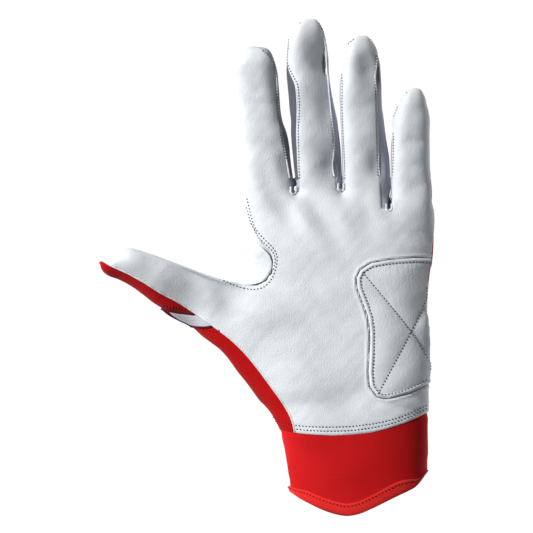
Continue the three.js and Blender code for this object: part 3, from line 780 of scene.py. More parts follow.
def creased(points, normals):
    """Millimetres that the worn skin stands off the plain form."""
    front = step(0.3, 0.85, normals[:, 2])
    total = np.zeros(len(points))
    x, y, z = points[:, :3].T
    for c, r, reach_x, reach_y, turn, height in DENTS:
        dx, dy = x - column(c), y - row(r)
        s, k = math.sin(math.radians(turn)), math.cos(math.radians(turn))
        across = (dx * k + dy * s) / (reach_x * PIXEL)
        along = (-dx * s + dy * k) / (reach_y * PIXEL)
        total += height * np.exp(-0.5 * (across**2 + along**2) * 1.6)
    for length, slant, height, phase in RIPPLES:
        pitch = 2 * math.pi / length
        swing = np.sin(pitch * (y + slant * x) + phase + 1.3 * np.sin(pitch * 0.43 * x + phase * 2))
        total += height * swing * np.cos(pitch * 0.31 * (x - 0.6 * y + 1.1 * z) + phase)
    return total * front + 0.1 * (1 - front) * np.sin(y / 4.7) * np.sin(z / 3.1 + x / 7.3)


# Mesh making

RELIEF_REACH = 0.25  # mm on either side over which a relief's slope is measured
STEEPEST = 1.6  # steepest slope that a relief is shaded with


def new_mesh(name, points, faces, normals=None, uv=None):
    """A mesh object in metres from points in mm, smooth shaded, with its own normals where given."""
    mesh = bpy.data.meshes.new(name)
    mesh.from_pydata((np.asarray(points) * MM).tolist(), [], [list(map(int, f)) for f in faces])
    mesh.polygons.foreach_set("use_smooth", np.ones(len(mesh.polygons), bool))
    if normals is not None:
        mesh.normals_split_custom_set_from_vertices(np.asarray(normals).tolist())
    if uv is not None:
        layer = mesh.uv_layers.new(name="UVMap")
        corner = np.zeros(len(mesh.loops), int)
        mesh.loops.foreach_get("vertex_index", corner)
        layer.data.foreach_set("uv", np.asarray(uv, float)[corner].ravel())
    mesh.update()
    thing = bpy.data.objects.new(name, mesh)
    bpy.context.scene.collection.objects.link(thing)
    return thing


def tangents(normals):
    """Two directions along the surface, square to each normal and to each other."""
    other = np.where(np.abs(normals[:, 1:2]) < 0.8, [[0.0, 1.0, 0.0]], [[1.0, 0.0, 0.0]])
    first = np.cross(other, normals)
    first /= np.linalg.norm(first, axis=1, keepdims=True)
    return first, np.cross(normals, first)


def raised(points, normals, height):
    """Points lifted off the skin by a height function, with the normals that the lift gives them."""
    lift = height(points, normals)
    first, second = tangents(normals)
    shaded = normals
    for way in (first, second):
        ahead = height(points + RELIEF_REACH * way, normals)
        behind = height(points - RELIEF_REACH * way, normals)
        slope = np.clip((ahead - behind) / (2 * RELIEF_REACH), -STEEPEST, STEEPEST)
        shaded = shaded - slope[:, None] * way
    shaded /= np.linalg.norm(shaded, axis=1, keepdims=True)
    # Folds move the skin straight up and down, so that its seams keep their place seen from above
    folds = creased(points, normals) * step(0.2, 0.45, normals[:, 2])
    slide = np.array([0.0, 0.0, 1.0]) / np.maximum(normals[:, 2:], 0.45) - normals
    return points + normals * lift[:, None] + slide * folds[:, None], shaded


def walled(outer, shaded, inward, faces, thickness):
    """A skin given a wall: its outer face, an inner face and a rim along every open edge."""
    count = len(outer)
    inner = outer - inward * thickness
    directed = np.concatenate([faces[:, [0, 1]], faces[:, [1, 2]], faces[:, [2, 0]]])
    codes = directed[:, 0] * count + directed[:, 1]
    reverse = directed[:, 1] * count + directed[:, 0]
    rim = directed[~np.isin(codes, reverse)]
    a, b = rim.T
    start = 2 * count
    n = len(rim)
    ring = np.concatenate([outer[a], outer[b], inner[b], inner[a]])
    i = np.arange(n)
    quads = np.stack([start + n + i, start + i, start + 3 * n + i, start + 2 * n + i], 1).tolist()
    away = np.cross(outer[b] - outer[a], inward[a])
    away /= np.maximum(np.linalg.norm(away, axis=1, keepdims=True), 1e-9)
    points = np.concatenate([outer, inner, ring])
    normals = np.concatenate([shaded, -inward, away, away, away, away])
    return points, faces.tolist() + (faces[:, ::-1] + count).tolist() + quads, normals


def joined(parts):
    """Several walled skins as one."""
    count, faces = 0, []
    for points, some, _ in parts:
        faces += [[i + count for i in face] for face in some]
        count += len(points)
    return np.concatenate([p for p, _, _ in parts]), faces, np.concatenate([n for _, _, n in parts])


def rolled(seams, depth, width):
    """How far a turned leather edge falls away beside its seams."""

    def height(points, normals):
        gap = -np.max([seam(points) for seam in seams], 0)
        t = np.clip(1 - gap / width, 0, 1)
        return -depth * (1 - np.sqrt(np.clip(1 - t * t, 0, 1)))

    return height


def cut_piece(form, skin, open_cuts, seams):
    """The part of the skin within plain cuts and sewn seams."""
    points, faces = skin
    for cut in list(open_cuts) + list(seams):
        points, faces = clipped(points, faces, cut(points))
    points, faces = largest_part(points, faces)
    return form.seated(points, 1), faces


def skin_piece(name, source, open_cuts, seam, node, wall, roll=(0.55, 1.3), relief=creased, lift=0.0):
    """A sewn piece cut from a form's skin, with its folds, its turned edge and its wall.

    Its turned edge falls by roll's first mm within its second mm of the seam.
    """
    form = SHARED[source]
    points, faces = cut_piece(form, SHARED[source + "_skin"], open_cuts, [seam])
    normals = form.normals(points)
    edge = rolled([seam], *roll)

    def height(p, n):
        return relief(p, n) + lift + edge(p, n)

    outer, shaded = raised(points, normals, height)
    remember(name, outer, faces)
    thing = new_mesh(name, *walled(outer, shaded, normals, faces, wall))
    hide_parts(node)
    return thing


# What the operators share while they run: forms, their skins and materials by name, and the outer
# face of each piece, on which stitches and edges are laid
SHARED = {}
SURFACES = {}
ABOVE_ALL = 80  # mm, a height over every piece
MID_HEIGHT = 19  # mm, near the middle of the glove's depth


def remember(name, points, faces):
    """Keeps a piece's outer face, so that stitches and edges can be laid on it."""
    SURFACES[name] = BVHTree.FromPolygons(points.tolist(), faces.tolist())


def laid_on(names, points):
    """Points put on the outer face of some pieces: plan points from above, others where it is nearest."""
    places, normals = [], []
    for point in points:
        best = None
        for name in names:
            tree = SURFACES[name]
            if len(point) == 2:
                hit = tree.ray_cast(Vector((*point, ABOVE_ALL)), Vector((0, 0, -1)))
                score = -hit[0].z if hit[0] else ABOVE_ALL
                hit = hit if hit[0] else tree.find_nearest(Vector((*point, MID_HEIGHT)))
            else:
                hit = tree.find_nearest(Vector(point))
                score = hit[3]
            if score is not None and (best is None or score < best[0]):
                best = (score, hit[0], hit[1])
        if best:
            places.append(best[1][:])
            normals.append(best[2][:])
    return np.array(places), np.array(normals)


def dress(thing, material, body, bend=None):
    """Gives a piece its material and lets it ride on its body; with a bend given, its transform is baked
    and it is left unattached.
    """
    thing.data.materials.clear()
    thing.data.materials.append(material)
    if bend:
        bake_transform(thing)
    else:
        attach(thing, body)
    return thing


# Materials

def linear(colour):
    """An sRGB hex value such as #E9EDEF as linear red, green, blue and alpha."""
    values = [int(colour[i : i + 2], 16) / 255 for i in (1, 3, 5)]
    return (*[v / 12.92 if v <= 0.04045 else ((v + 0.055) / 1.055) ** 2.4 for v in values], 1.0)


def new_material(name):
    """A material with an empty node tree."""
    material = bpy.data.materials.new(name)
    material.use_nodes = True
    material.node_tree.nodes.clear()
    return material


def add(owner, kind, options=None, **links):
    """Adds one node to a material or node tree: options are its properties, or a ramp's two stops.

    Links feed its inputs, by name or as i and a number, from sockets or values.
    """
    tree = getattr(owner, "node_tree", owner)
    node = tree.nodes.new(kind)
    for key, value in (options or {}).items():
        if key == "stops":
            for element, stop in zip(node.color_ramp.elements, value):
                element.position, element.color = stop
        else:
            setattr(node, key, value)
    for key, value in links.items():
        numbered = key[0] == "i" and key[1:].isdigit()
        socket = node.inputs[int(key[1:]) if numbered else key.replace("_", " ")]
        if isinstance(value, bpy.types.NodeSocket):
            tree.links.new(value, socket)
        else:
            socket.default_value = value
    return node


def finish_material(material, **sockets):
    """Adds the surface shader with these inputs and the material's output."""
    shader = add(material, "ShaderNodeBsdfPrincipled", **sockets)
    add(material, "ShaderNodeOutputMaterial", i0=shader.outputs[0])
    return material


def leather_material(name, base, shade):
    """Tawed sheepskin, dyed white and drum-softened, with a soft satin gleam.

    Short grain lies about 0.7 mm apart with pores between, and the tone is a little cooler in clouds.
    """
    m = new_material(name)
    place = add(m, "ShaderNodeTexCoord").outputs["Object"]
    stretched = add(
        m, "ShaderNodeMapping", Vector=place, Rotation=(0, 0, math.radians(-52)), Scale=(1900, 900, 1400)
    )
    along = stretched.outputs[0]
    grain = add(m, "ShaderNodeTexNoise", Vector=along, Scale=1.0, Detail=3.0, Roughness=0.6)
    pores = add(m, "ShaderNodeTexVoronoi", Vector=place, Scale=1500.0)
    clouds = add(m, "ShaderNodeTexNoise", Vector=place, Scale=70.0, Detail=4.0, Roughness=0.55)
    tone = add(m, "ShaderNodeValToRGB", {"stops": [(0.3, shade), (0.62, base)]}, i0=clouds.outputs[0])
    worn = add(
        m, "ShaderNodeMapRange", Value=grain.outputs[0],
        From_Min=0.3, From_Max=0.7, To_Min=0.46, To_Max=0.6,
    )
    coarse = add(m, "ShaderNodeBump", Height=grain.outputs[0], Strength=0.42, Distance=0.0005)
    fine = add(
        m, "ShaderNodeBump", Height=pores.outputs[0], Normal=coarse.outputs[0],
        Strength=0.12, Distance=0.0003,
    )
    return finish_material(
        m, Base_Color=tone.outputs[0], Roughness=worn.outputs[0], Normal=fine.outputs[0],
        Specular_IOR_Level=0.34, Sheen_Weight=0.08, Sheen_Roughness=0.4,
    )


def fabric_material(name, base, shade, thread=0.55, sheen=0.02, strength=0.35, roughness=0.85, ribs=None):
    """Stretch fabric knitted in fine columns: a soft matt face, slightly uneven in tone.

    It is dimpled at the loop spacing given in mm. Real loops are about 0.3 mm apart and are drawn
    coarser so that they show. Ribs, where given, lie that many mm apart.
    """
    m = new_material(name)
    place = add(m, "ShaderNodeTexCoord").outputs["Object"]
    rate = 2 * math.pi / (thread * MM)
    loops = {"Vector": place, "Distortion": 1.2, "Detail": 1.0}
    wales = add(m, "ShaderNodeTexWave", {"bands_direction": "X"}, Scale=rate / 20, **loops)
    courses = add(m, "ShaderNodeTexWave", {"bands_direction": "Y"}, Scale=rate / 26, **loops)
    knit = add(m, "ShaderNodeMath", {"operation": "MULTIPLY"}, i0=wales.outputs[1], i1=courses.outputs[1])
    clouds = add(m, "ShaderNodeTexNoise", Vector=place, Scale=45.0, Detail=3.0)
    tone = add(m, "ShaderNodeValToRGB", {"stops": [(0.3, shade), (0.65, base)]}, i0=clouds.outputs[0])
    height = knit.outputs[0]
    if ribs:
        rate = math.pi / (ribs * MM)
        rib = add(m, "ShaderNodeTexWave", {"bands_direction": "Y"}, Vector=place, Scale=rate / 10)
        deep = {"operation": "MULTIPLY_ADD"}
        height = add(m, "ShaderNodeMath", deep, i0=rib.outputs[1], i1=3.0, i2=height).outputs[0]
    bump = add(m, "ShaderNodeBump", Height=height, Strength=strength, Distance=0.0003)
    return finish_material(
        m, Base_Color=tone.outputs[0], Roughness=roughness, Normal=bump.outputs[0],
        Specular_IOR_Level=0.05, Sheen_Weight=sheen, Sheen_Roughness=0.5,
    )


def thread_material(name, colour):
    """Twisted thread: its plies lie in short slanting flecks 0.25 mm apart, with the grooves between them
    painted darker as painted shade.
    """
    m = new_material(name)
    place = add(m, "ShaderNodeTexCoord").outputs["Object"]
    slanting = {"bands_direction": "DIAGONAL"}
    wave = add(m, "ShaderNodeTexWave", slanting, Vector=place, Scale=1250.0, Distortion=0.5)
    twist = wave.outputs[1]
    # Grooves between the plies get a darker colour: painted shade
    painted_shade_between_plies = (*[0.75 * value for value in colour[:3]], 1.0)
    tone = add(m, "ShaderNodeValToRGB", {"stops": [(0.0, painted_shade_between_plies), (0.8, colour)]}, i0=twist)
    bump = add(m, "ShaderNodeBump", Height=twist, Strength=0.5, Distance=0.0001)
    return finish_material(
        m, Base_Color=tone.outputs[0], Roughness=0.6, Normal=bump.outputs[0], Specular_IOR_Level=0.35
    )


def settings():
    """The glove's sizes, as set in the panel."""
    return bpy.context.scene.glove


class GloveSizes(bpy.types.PropertyGroup):
    """Sizes of the skin, its stitches and its edges"""

    leather_thickness: bpy.props.FloatProperty(
        name="Leather thickness", description="Thickness of the sewn skin", default=0.0009, unit="LENGTH"
    )
    cell: bpy.props.FloatProperty(
        name="Skin cell", description="Spacing of the skin's points", default=0.0009, unit="LENGTH"
    )
    finger_cell: bpy.props.FloatProperty(
        name="Finger cell", description="Spacing of a finger's points", default=0.0006, unit="LENGTH"
    )
    stitch_pitch: bpy.props.FloatProperty(
        name="Stitch pitch", description="Distance from one stitch to the next",
        default=0.00155, unit="LENGTH",
    )
    stitch_length: bpy.props.FloatProperty(
        name="Stitch length", description="Visible length of one stitch", default=0.0009, unit="LENGTH"
    )
    thread_width: bpy.props.FloatProperty(
        name="Thread width", description="Thickness of the sewing thread", default=0.0006, unit="LENGTH"
    )
    bead_width: bpy.props.FloatProperty(
        name="Turned edge", description="Width of the turned leather edge at a seam",
        default=0.0009, unit="LENGTH",
    )


# What every colour setting has in common; its values are linear
COLOUR = {"subtype": "COLOR", "size": 4, "min": 0, "max": 1}


class GloveColours(bpy.types.PropertyGroup):
    """Colours of the leather, fabrics, thread and floor"""

    leather: bpy.props.FloatVectorProperty(
        name="Leather", description="White sheepskin", default=linear("#D9DDE0"), **COLOUR
    )
    leather_shade: bpy.props.FloatVectorProperty(
        name="Leather shade", description="Cooler tone of the leather", default=linear("#CDD2D6"), **COLOUR
    )
    red: bpy.props.FloatVectorProperty(
        name="Red fabric", description="Stretch fabric of the back", default=linear("#B41012"), **COLOUR
    )
    red_shade: bpy.props.FloatVectorProperty(
        name="Red shade", description="Darker tone of the red fabric", default=linear("#A40E10"), **COLOUR
    )
    strip: bpy.props.FloatVectorProperty(
        name="Finger strips", description="Knit between the fingers", default=linear("#B6B8C4"), **COLOUR
    )
    thread: bpy.props.FloatVectorProperty(
        name="Thread", description="Sewing thread in the leather", default=linear("#484E53"), **COLOUR
    )
    floor: bpy.props.FloatVectorProperty(
        name="Floor", description="Pale floor under the glove", default=linear("#FFFFFF"), **COLOUR
    )


# Stuffs cut flat or moulded: name, colour, shade and how the weave shows
FABRICS = {
    # The same dull knit, darkened as painted shade for the strip that lies in shade
    "strip_painted_shade": (
        "Nylon stretch knit, grey in painted shade", "#5E6068", "#53555C", {"sheen": 0.1, "roughness": 0.8}
    ),
    # Pale and soft, with a faint bloom
    "insert": ("Nylon stretch knit, pale", "#C6C8D0", "#B4B6C0", {"sheen": 0.2, "roughness": 0.8}),
    # A tight dark cord
    "piping": ("Polyester piping, dark crimson", "#5A1414", "#450D0E", {"thread": 0.6, "sheen": 0.1}),
    # Chalky, with open cells
    "foam": ("Polyurethane foam, open cell", "#F2E6C8", "#E6D8B4", {"thread": 0.9, "roughness": 0.95}),
    # Brighter than the cuff, with a fine even knit
    "tape": ("Knitted polyester tape, folded", "#E62C29", "#D62320", {"thread": 0.5, "sheen": 0.15}),
    # Coarse and dull, from its rows of hooks
    "hook": ("Nylon hook tape", "#7A1416", "#5E0F12", {"thread": 1.1, "strength": 1.0, "roughness": 0.9}),
    # Brushed, so its fibres glow at the edges
    "loop": (
        "Nylon loop tape, brushed", "#A81A1D", "#8C1518", {"thread": 0.8, "sheen": 0.8, "roughness": 0.95}
    ),
    # Smooth satin, with a faint moulded texture
    "rubber": (
        "Thermoplastic rubber, moulded white", "#F0F0F0", "#E2E2E2",
        {"thread": 2.2, "roughness": 0.5, "sheen": 0.0},
    ),
    # A fine, nearly smooth face with a little gleam
    "neoprene": (
        "Neoprene with a fine jersey face", "#C8181B", "#B81317",
        {"thread": 0.45, "strength": 0.25, "roughness": 0.7},
    ),
}


# Grids in mm: the hand's from the wrist to above the finger bases, and what a finger's has round it
HAND_LEFT, HAND_RIGHT, HAND_TOP, HAND_ROWS = -84, 80, 46, (452, 150)
GRID_FLOOR, FINGER_TOP, FINGER_MARGIN = -1.6, 33, 5


def prepare():
    """Makes the forms and materials that the pieces are cut from."""
    sizes, colours = settings(), bpy.context.scene.glove_colours
    low = (HAND_LEFT, row(HAND_ROWS[0]), GRID_FLOOR)
    high = (HAND_RIGHT, row(HAND_ROWS[1]), HAND_TOP)
    SHARED["hand"] = HandForm(low, high, sizes.cell / MM, [*FINGERS, "thumb"])
    for name, table in FINGERS.items():
        rows, left, right = np.array(table).T
        low = (column(left.min()) - FINGER_MARGIN, row(rows[0] - 8), GRID_FLOOR)
        high = (column(right.max()) + FINGER_MARGIN, row(rows[-1]) + FINGER_MARGIN, FINGER_TOP)
        SHARED[name] = HandForm(low, high, sizes.finger_cell / MM, [name])
    for name in ("hand", *FINGERS):
        SHARED[name + "_skin"] = SHARED[name].surface()
    SHARED["leather"] = leather_material("Tawed sheepskin, satin", colours.leather, colours.leather_shade)
    SHARED["red"] = fabric_material("Polyester stretch knit, smooth red", colours.red, colours.red_shade)
    SHARED["ribbed"] = fabric_material(
        "Polyester stretch knit, ribbed red", colours.red, colours.red_shade, ribs=2.4, strength=0.8
    )
    SHARED["strip"] = fabric_material(
        "Nylon stretch knit, grey", colours.strip, linear("#A2A4B0"), sheen=0.2, roughness=0.8
    )
    for key, (name, base, shade, weave) in FABRICS.items():
        SHARED[key] = fabric_material(name, linear(base), linear(shade), **weave)


# Parts of a finger: material, slot, turned edge (depth and width in mm) and lift in mm
FINGER_PARTS = {
    "front": ("leather", "leather", (0.5, 1.1), 0.0),
    "back": ("red", "back_fabric", (0.2, 0.6), -0.25),
    "left": ("strip", "fourchette_fabric", (0.2, 0.6), -0.25),
    "right": ("strip", "fourchette_fabric", (0.2, 0.6), -0.25),
}
PAINTED_SHADE_STRIP = "middle_fourchette_left"  # the one strip that gets the darker knit as painted shade, where it lies in shade in the photograph


class GLOVE_OT_fingers(bpy.types.Operator):
    """Cuts each finger's leather front, red back and grey side strips from its own skin"""

    bl_idname = "glove.fingers"
    bl_label = "Finger stalls"

    def execute(self, context):
        wall = settings().leather_thickness / MM
        for name in FINGERS:
            crease = [beyond_crease(name)]
            for part, (finish, slot, roll, lift) in FINGER_PARTS.items():
                if (name, part) in (("index", "left"), ("little", "right")):
                    continue
                node = f"{name}_fourchette_{part}" if part in ("left", "right") else f"{name}_{part}"
                seam = finger_seams(name, part)
                piece = skin_piece(node + "_cover", name, crease, seam, node, wall, roll, lift=lift)
                # The shaded strip is given the darker knit: painted shade, not a different fabric
                finish = "strip_painted_shade" if node == PAINTED_SHADE_STRIP else finish
                dress(piece, SHARED[finish], name + "_stall", bend=name)
        return {"FINISHED"}


INSERT_WALL = 0.6  # mm
PIPING_RADIUS = 0.6  # mm


class GLOVE_OT_thumb(bpy.types.Operator):
    """Cuts the thumb's leather front, its red back and the pale insert between two pipings"""

    bl_idname = "glove.thumb"
    bl_label = "Thumb stall"

    def execute(self, context):
        wall = settings().leather_thickness / MM
        stall = [beyond_crease("thumb"), under(THUMB_REGION), outside(gusset_field())]
        front = both(under(WHITE_FIELD), over(THUMB_MIDDLE))
        vent = both(under(VENT), over(GUSSET_FLOOR))
        back_cover, insert_cover = "thumb_back_cover", "thumb_flex_insert_knit"
        for name, node, seam, finish, slot, thick, roll, lift in (
            ("thumb_front_cover", "thumb_front", front, "leather", "leather", wall, (0.6, 1.3), 0.1),
            (back_cover, "thumb_back", outside(front), "red", "back_fabric", wall, (0.3, 0.8), -0.55),
            (
                insert_cover, "thumb_flex_insert", vent, "insert", "fourchette_fabric", INSERT_WALL,
                (0.2, 0.8), -0.1,
            ),
        ):
            piece = skin_piece(name, "hand", stall, seam, node, thick, roll, lift=lift)
            dress(piece, SHARED[finish], "thumb_stall", bend="thumb")
        paths = []
        for line in VENT_PIPING:
            path, up = laid_on([back_cover, insert_cover], smooth_path(plan(line), 0.6))
            paths.append(path + up * PIPING_RADIUS / 4)
        piping = tubes("thumb_flex_piping", paths, PIPING_RADIUS)
        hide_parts("thumb_flex_binding")
        dress(piping, SHARED["piping"], "thumb_stall", bend="thumb")
        return {"FINISHED"}


def palm_relief():
    """The palm's folds, gathered round the heel pad and pressed in along the hem's stitches."""
    pad = plan(PAD_OUTLINE)
    rows = [smooth_path(plan(line)) for line in HEM_STITCHES]

    def relief(points, normals):
        gap = plan_distance(pad, points, True)
        ring = 0.38 * np.exp(-(((gap - 1.1) / 0.7) ** 2)) - 0.8 * np.exp(-((gap / 0.42) ** 2))
        sewn = np.min([np.abs(plan_distance(line, points)) for line in rows], 0)
        return creased(points, normals) + ring - 0.16 * np.exp(-((sewn / 0.45) ** 2))

    return relief


class GLOVE_OT_hand(bpy.types.Operator):
    """Cuts the palm leather, crotch gusset, side panel, knuckle panel and back panel"""

    bl_idname = "glove.hand"
    bl_label = "Hand pieces"

    def execute(self, context):
        wall = settings().leather_thickness / MM
        off_thumb = either(beyond_crease("thumb", -1), under(THUMB_REGION, sign=-1))
        cuts = [*off_fingers(), off_thumb]
        above_hem = under(HEM + [(450, 700), (240, 700)], sign=-1)
        gusset = gusset_field()
        white = both(above_seam(), under(WHITE_FIELD))
        strips = [outside(web_strip(key, side)) for key in NOTCHES for side in (0, 1)]
        palm = both(white, outside(gusset), above_hem, *strips)
        piece = skin_piece(
            "palm_leather_cover", "hand", cuts, palm, "palm_leather", wall,
            relief=palm_relief(), lift=0.15,
        )
        dress(piece, SHARED["leather"], "hand")
        piece = skin_piece(
            "crotch_gusset_cover", "hand", off_fingers(), gusset, "crotch_gusset", wall,
            roll=(1.5, 1.1), lift=-0.15,
        )
        dress(piece, SHARED["leather"], "hand")
        rear = both(outside(white), outside(gusset), above_hem)
        over_knuckles = both(under(KNUCKLE), over(KNUCKLE_TOP, -1))
        for name, seam, finish, slot in (
            ("radial_side_panel", both(rear, under(SIDE_REGION)), "red", "back_fabric"),
            ("knuckle_flex_panel", both(rear, over_knuckles), "ribbed", "knuckle_fabric"),
            (
                "back_panel", both(rear, under(SIDE_REGION, sign=-1), outside(over_knuckles)),
                "red", "back_fabric",
            ),
        ):
            piece = skin_piece(name + "_cover", "hand", cuts, seam, name, wall, (0.3, 0.8), lift=-0.55)
            dress(piece, SHARED[finish], "hand")
        return {"FINISHED"}


PAD_OUTLINE = [
    (440, 258.5), (430, 258.5), (415, 258), (389, 260), (371, 263.3), (360.5, 270), (356.5, 278),
    (357.5, 289), (364, 306), (368, 319), (369.7, 334), (369.2, 356), (368.3, 372), (369.5, 386),
    (377.5, 396.5), (389, 398), (408, 393), (428, 383.5), (440, 378),
]
PAD_CROSS = [[(362.6, 272.5), (410.7, 331.7), (434, 369)], [(378, 393), (410.7, 331.7), (432, 288)]]
PAD_HEIGHT = 1.15  # puffed middle over the palm, mm
PAD_STITCH = 1.9  # stitch row in from the pad's edge, mm
PAD_COVER_WALL, PAD_FOAM_WALL = 0.75, 0.3  # mm
PAD_CELL = 0.62  # mm, spacing of the pad's points
PAD_HELD = 0.4  # mm on either side of the cross in which the cover is held down
CUFF_END = [
    (270, 486), (283, 489.5), (289, 493), (297, 498), (306, 502.5), (318, 508), (333, 513), (345, 514.8),
    (357, 513), (372, 507), (387, 500), (400, 494), (410, 489.6), (416.5, 486), (421, 481), (425, 475),
    (429, 470), (450, 462),
]
CUFF_OVERLAP = 3.5  # mm that the cuff runs up under the palm's hem
CUFF_WALL, TAPE_WALL = 1.9, 0.35  # mm
CUFF_ROWS, CUFF_COLUMNS = 56, 300  # points along and round the cuff
WRIST_Y = -95.0  # mm, the height at which distances round the wrist are measured
# Width of the binding tape in mm by pixel column; its fold tucks away at both sides of the front
BINDING_WIDTH = 5.6
TAPE_WIDTH = [
    (284, 2.6), (292, 3.6), (303, 5.4), (320, 5.9), (350, 5.7), (378, 6.3), (400, 6.4), (410, 5.2),
    (419, 3.0), (426, 0.9), (432, 0.7),
]
# The tape's section: mm up from the cuff's end and mm off the cuff, from the outer face to the inner
TAPE_SECTION = [
    (BINDING_WIDTH, -0.2), (BINDING_WIDTH - 0.15, 0.2), (BINDING_WIDTH - 0.7, 0.32), (3.4, 0.3),
    (2.2, 0.25), (1.1, 0.1), (0.35, -0.3), (0.05, -0.7), (0.0, -1.1), (0.1, -1.7), (0.5, -2.2),
    (1.3, -2.5), (3.2, -2.6), (BINDING_WIDTH - 0.4, -2.55), (BINDING_WIDTH, -2.2),
]
# The slit in the back of the cuff: middle across, width, top and how far it reaches forwards, mm
SLIT_CENTRE, SLIT_WIDTH, SLIT_TOP, SLIT_DEPTH = 41.39, 4.6, -85.4, 18
STRAP_Y = (-94.58, -79.58)
STRAP_X = {
    "anchor": (19.4, 27.24),
    "strap": (27.54, 61.19),
    "tab": (61.49, 67.19),
    "patch": (44.69, 59.69),
}


def trunk_normal(u, v, a, b):
    """Unit normals of the wrist's section at shares u of its half width a and v of its half depth b."""
    k = TRUNK_POWER - 1
    n = np.stack([np.sign(u) * np.abs(u) ** k / a, 0 * u, np.sign(v) * np.abs(v) ** k / b], -1)
    return n / np.linalg.norm(n, axis=-1, keepdims=True)


def trunk_point(turn, y, stand):
    """A point round the wrist at an angle, standing off its skin, and the normal there."""
    x0, a, z0, b = trunk_section(y)
    k = 2 / TRUNK_POWER
    cos, sin = np.cos(turn), np.sin(turn)
    u, v = np.sign(cos) * np.abs(cos) ** k, np.sign(sin) * np.abs(sin) ** k
    n = trunk_normal(u, v, a, b)
    p = np.stack([x0 + a * u, np.broadcast_to(y, np.shape(u)), z0 + b * v], -1)
    return p + n * np.asarray(stand)[..., None], n


def wrist_ring(turns, y=WRIST_Y):
    """Points round the wrist at one height."""
    return trunk_point(turns, np.full(len(turns), y), np.zeros(len(turns)))[0]


def even_turns(count):
    """Angles round the wrist that space its points evenly."""
    dense = np.linspace(0, 2 * math.pi, 4001)
    run = np.concatenate([[0], np.cumsum(np.linalg.norm(np.diff(wrist_ring(dense), axis=0), axis=1))])
    return np.interp(np.linspace(0, run[-1], count, endpoint=False), run, dense)


def grid_faces(rows, columns, closed=False):
    """Triangles over a grid of points, row by row."""
    i, j = np.meshgrid(np.arange(rows - 1), np.arange(columns if closed else columns - 1), indexing="ij")
    k = (j + 1) % columns
    a, b, c, d = i * columns + j, i * columns + k, (i + 1) * columns + k, (i + 1) * columns + j
    triangles = [np.stack(corners, -1).reshape(-1, 3) for corners in ((a, b, c), (a, c, d))]
    return np.concatenate(triangles)


def facing(points, faces, normals):
    """Triangles turned so that they face the way of the normals."""
    a, b, c = (points[faces[:, i]] for i in range(3))
    return faces if (np.cross(b - a, c - a) * normals[faces[:, 0]]).sum() > 0 else faces[:, ::-1]


def end_height(path, x):
    """Millimetres up the hand of an edge in plan at places across."""
    points = plan(path)
    return smooth_table(points[:, 0], points[:, 1], x)


def tape_width(points):
    """Width of the binding tape at points round the wrist: its table in front, plain behind."""
    pixels, widths = np.array(TAPE_WIDTH).T
    front = smooth_table(column(pixels), widths, points[:, 0])
    return BINDING_WIDTH + (front - BINDING_WIDTH) * step(8, 18, points[:, 2])


def vertex_normals(points, faces):
    """Each point's normal, weighted by the size of the faces round it."""
    a, b, c = (points[faces[:, i]] for i in range(3))
    across = np.cross(b - a, c - a)
    total = np.zeros_like(points)
    for i in range(3):
        np.add.at(total, faces[:, i], across)
    return total / np.maximum(np.linalg.norm(total, axis=1, keepdims=True), 1e-12)


CLOTH_SCALE = 0.02  # the simulation works at twenty times life size
CLOTH_FRAMES = 24
CLOTH_SETTINGS = {
    "quality": 6,
    "mass": 0.3,
    "vertex_group_mass": "sewn",
    "tension_stiffness": 12,
    "compression_stiffness": 12,
    "shear_stiffness": 6,
    "bending_stiffness": 12,
    "tension_damping": 8,
    "compression_damping": 8,
    "shear_damping": 8,
    "use_pressure": True,
    "uniform_pressure_force": 4.0,
    "shrink_min": -0.008,
    "shrink_max": -0.008,
}


def blown(points, faces, held):
    """How far each point of a cloth moves, in mm, when it is blown up with some points held."""
    scene = bpy.context.scene
    mesh = bpy.data.meshes.new("pad_cloth")
    mesh.from_pydata((points * CLOTH_SCALE).tolist(), [], faces.tolist())
    thing = bpy.data.objects.new("pad_cloth", mesh)
    scene.collection.objects.link(thing)
    group = thing.vertex_groups.new(name="sewn")
    group.add(np.flatnonzero(held).tolist(), 1.0, "REPLACE")
    cloth = thing.modifiers.new("cloth", "CLOTH")
    cloth.point_cache.frame_start, cloth.point_cache.frame_end = 1, CLOTH_FRAMES
    cloth.collision_settings.use_collision = False
    for key, value in CLOTH_SETTINGS.items():
        setattr(cloth.settings, key, value)
    cloth.settings.effector_weights.gravity = 0
    for frame in range(1, CLOTH_FRAMES + 1):
        scene.frame_set(frame)
    done = thing.evaluated_get(bpy.context.evaluated_depsgraph_get()).data
    moved = np.zeros(len(points) * 3)
    done.vertices.foreach_get("co", moved)
    scene.frame_set(1)
    bpy.data.objects.remove(thing)
    bpy.data.meshes.remove(mesh)
    return moved.reshape(-1, 3) / CLOTH_SCALE - points


def eased(rise, faces, held, most):
    """A cloth's rise less the ripples that thick leather doesn't take, brought to a height in mm."""
    if not np.isfinite(rise).all() or np.percentile(rise, 98) < 0.05:
        raise RuntimeError("the heel pad's cloth did not fill")
    links = np.concatenate([faces[:, [0, 1]], faces[:, [1, 2]], faces[:, [2, 0]]])
    links = np.concatenate([links, links[:, ::-1]])
    near = np.maximum(np.bincount(links[:, 0], minlength=len(rise)), 1)
    for _ in range(40):
        rise = np.where(held, 0, np.bincount(links[:, 0], rise[links[:, 1]], len(rise)) / near)
    return np.clip(rise * most / np.percentile(rise, 98), 0, 1.2 * most)


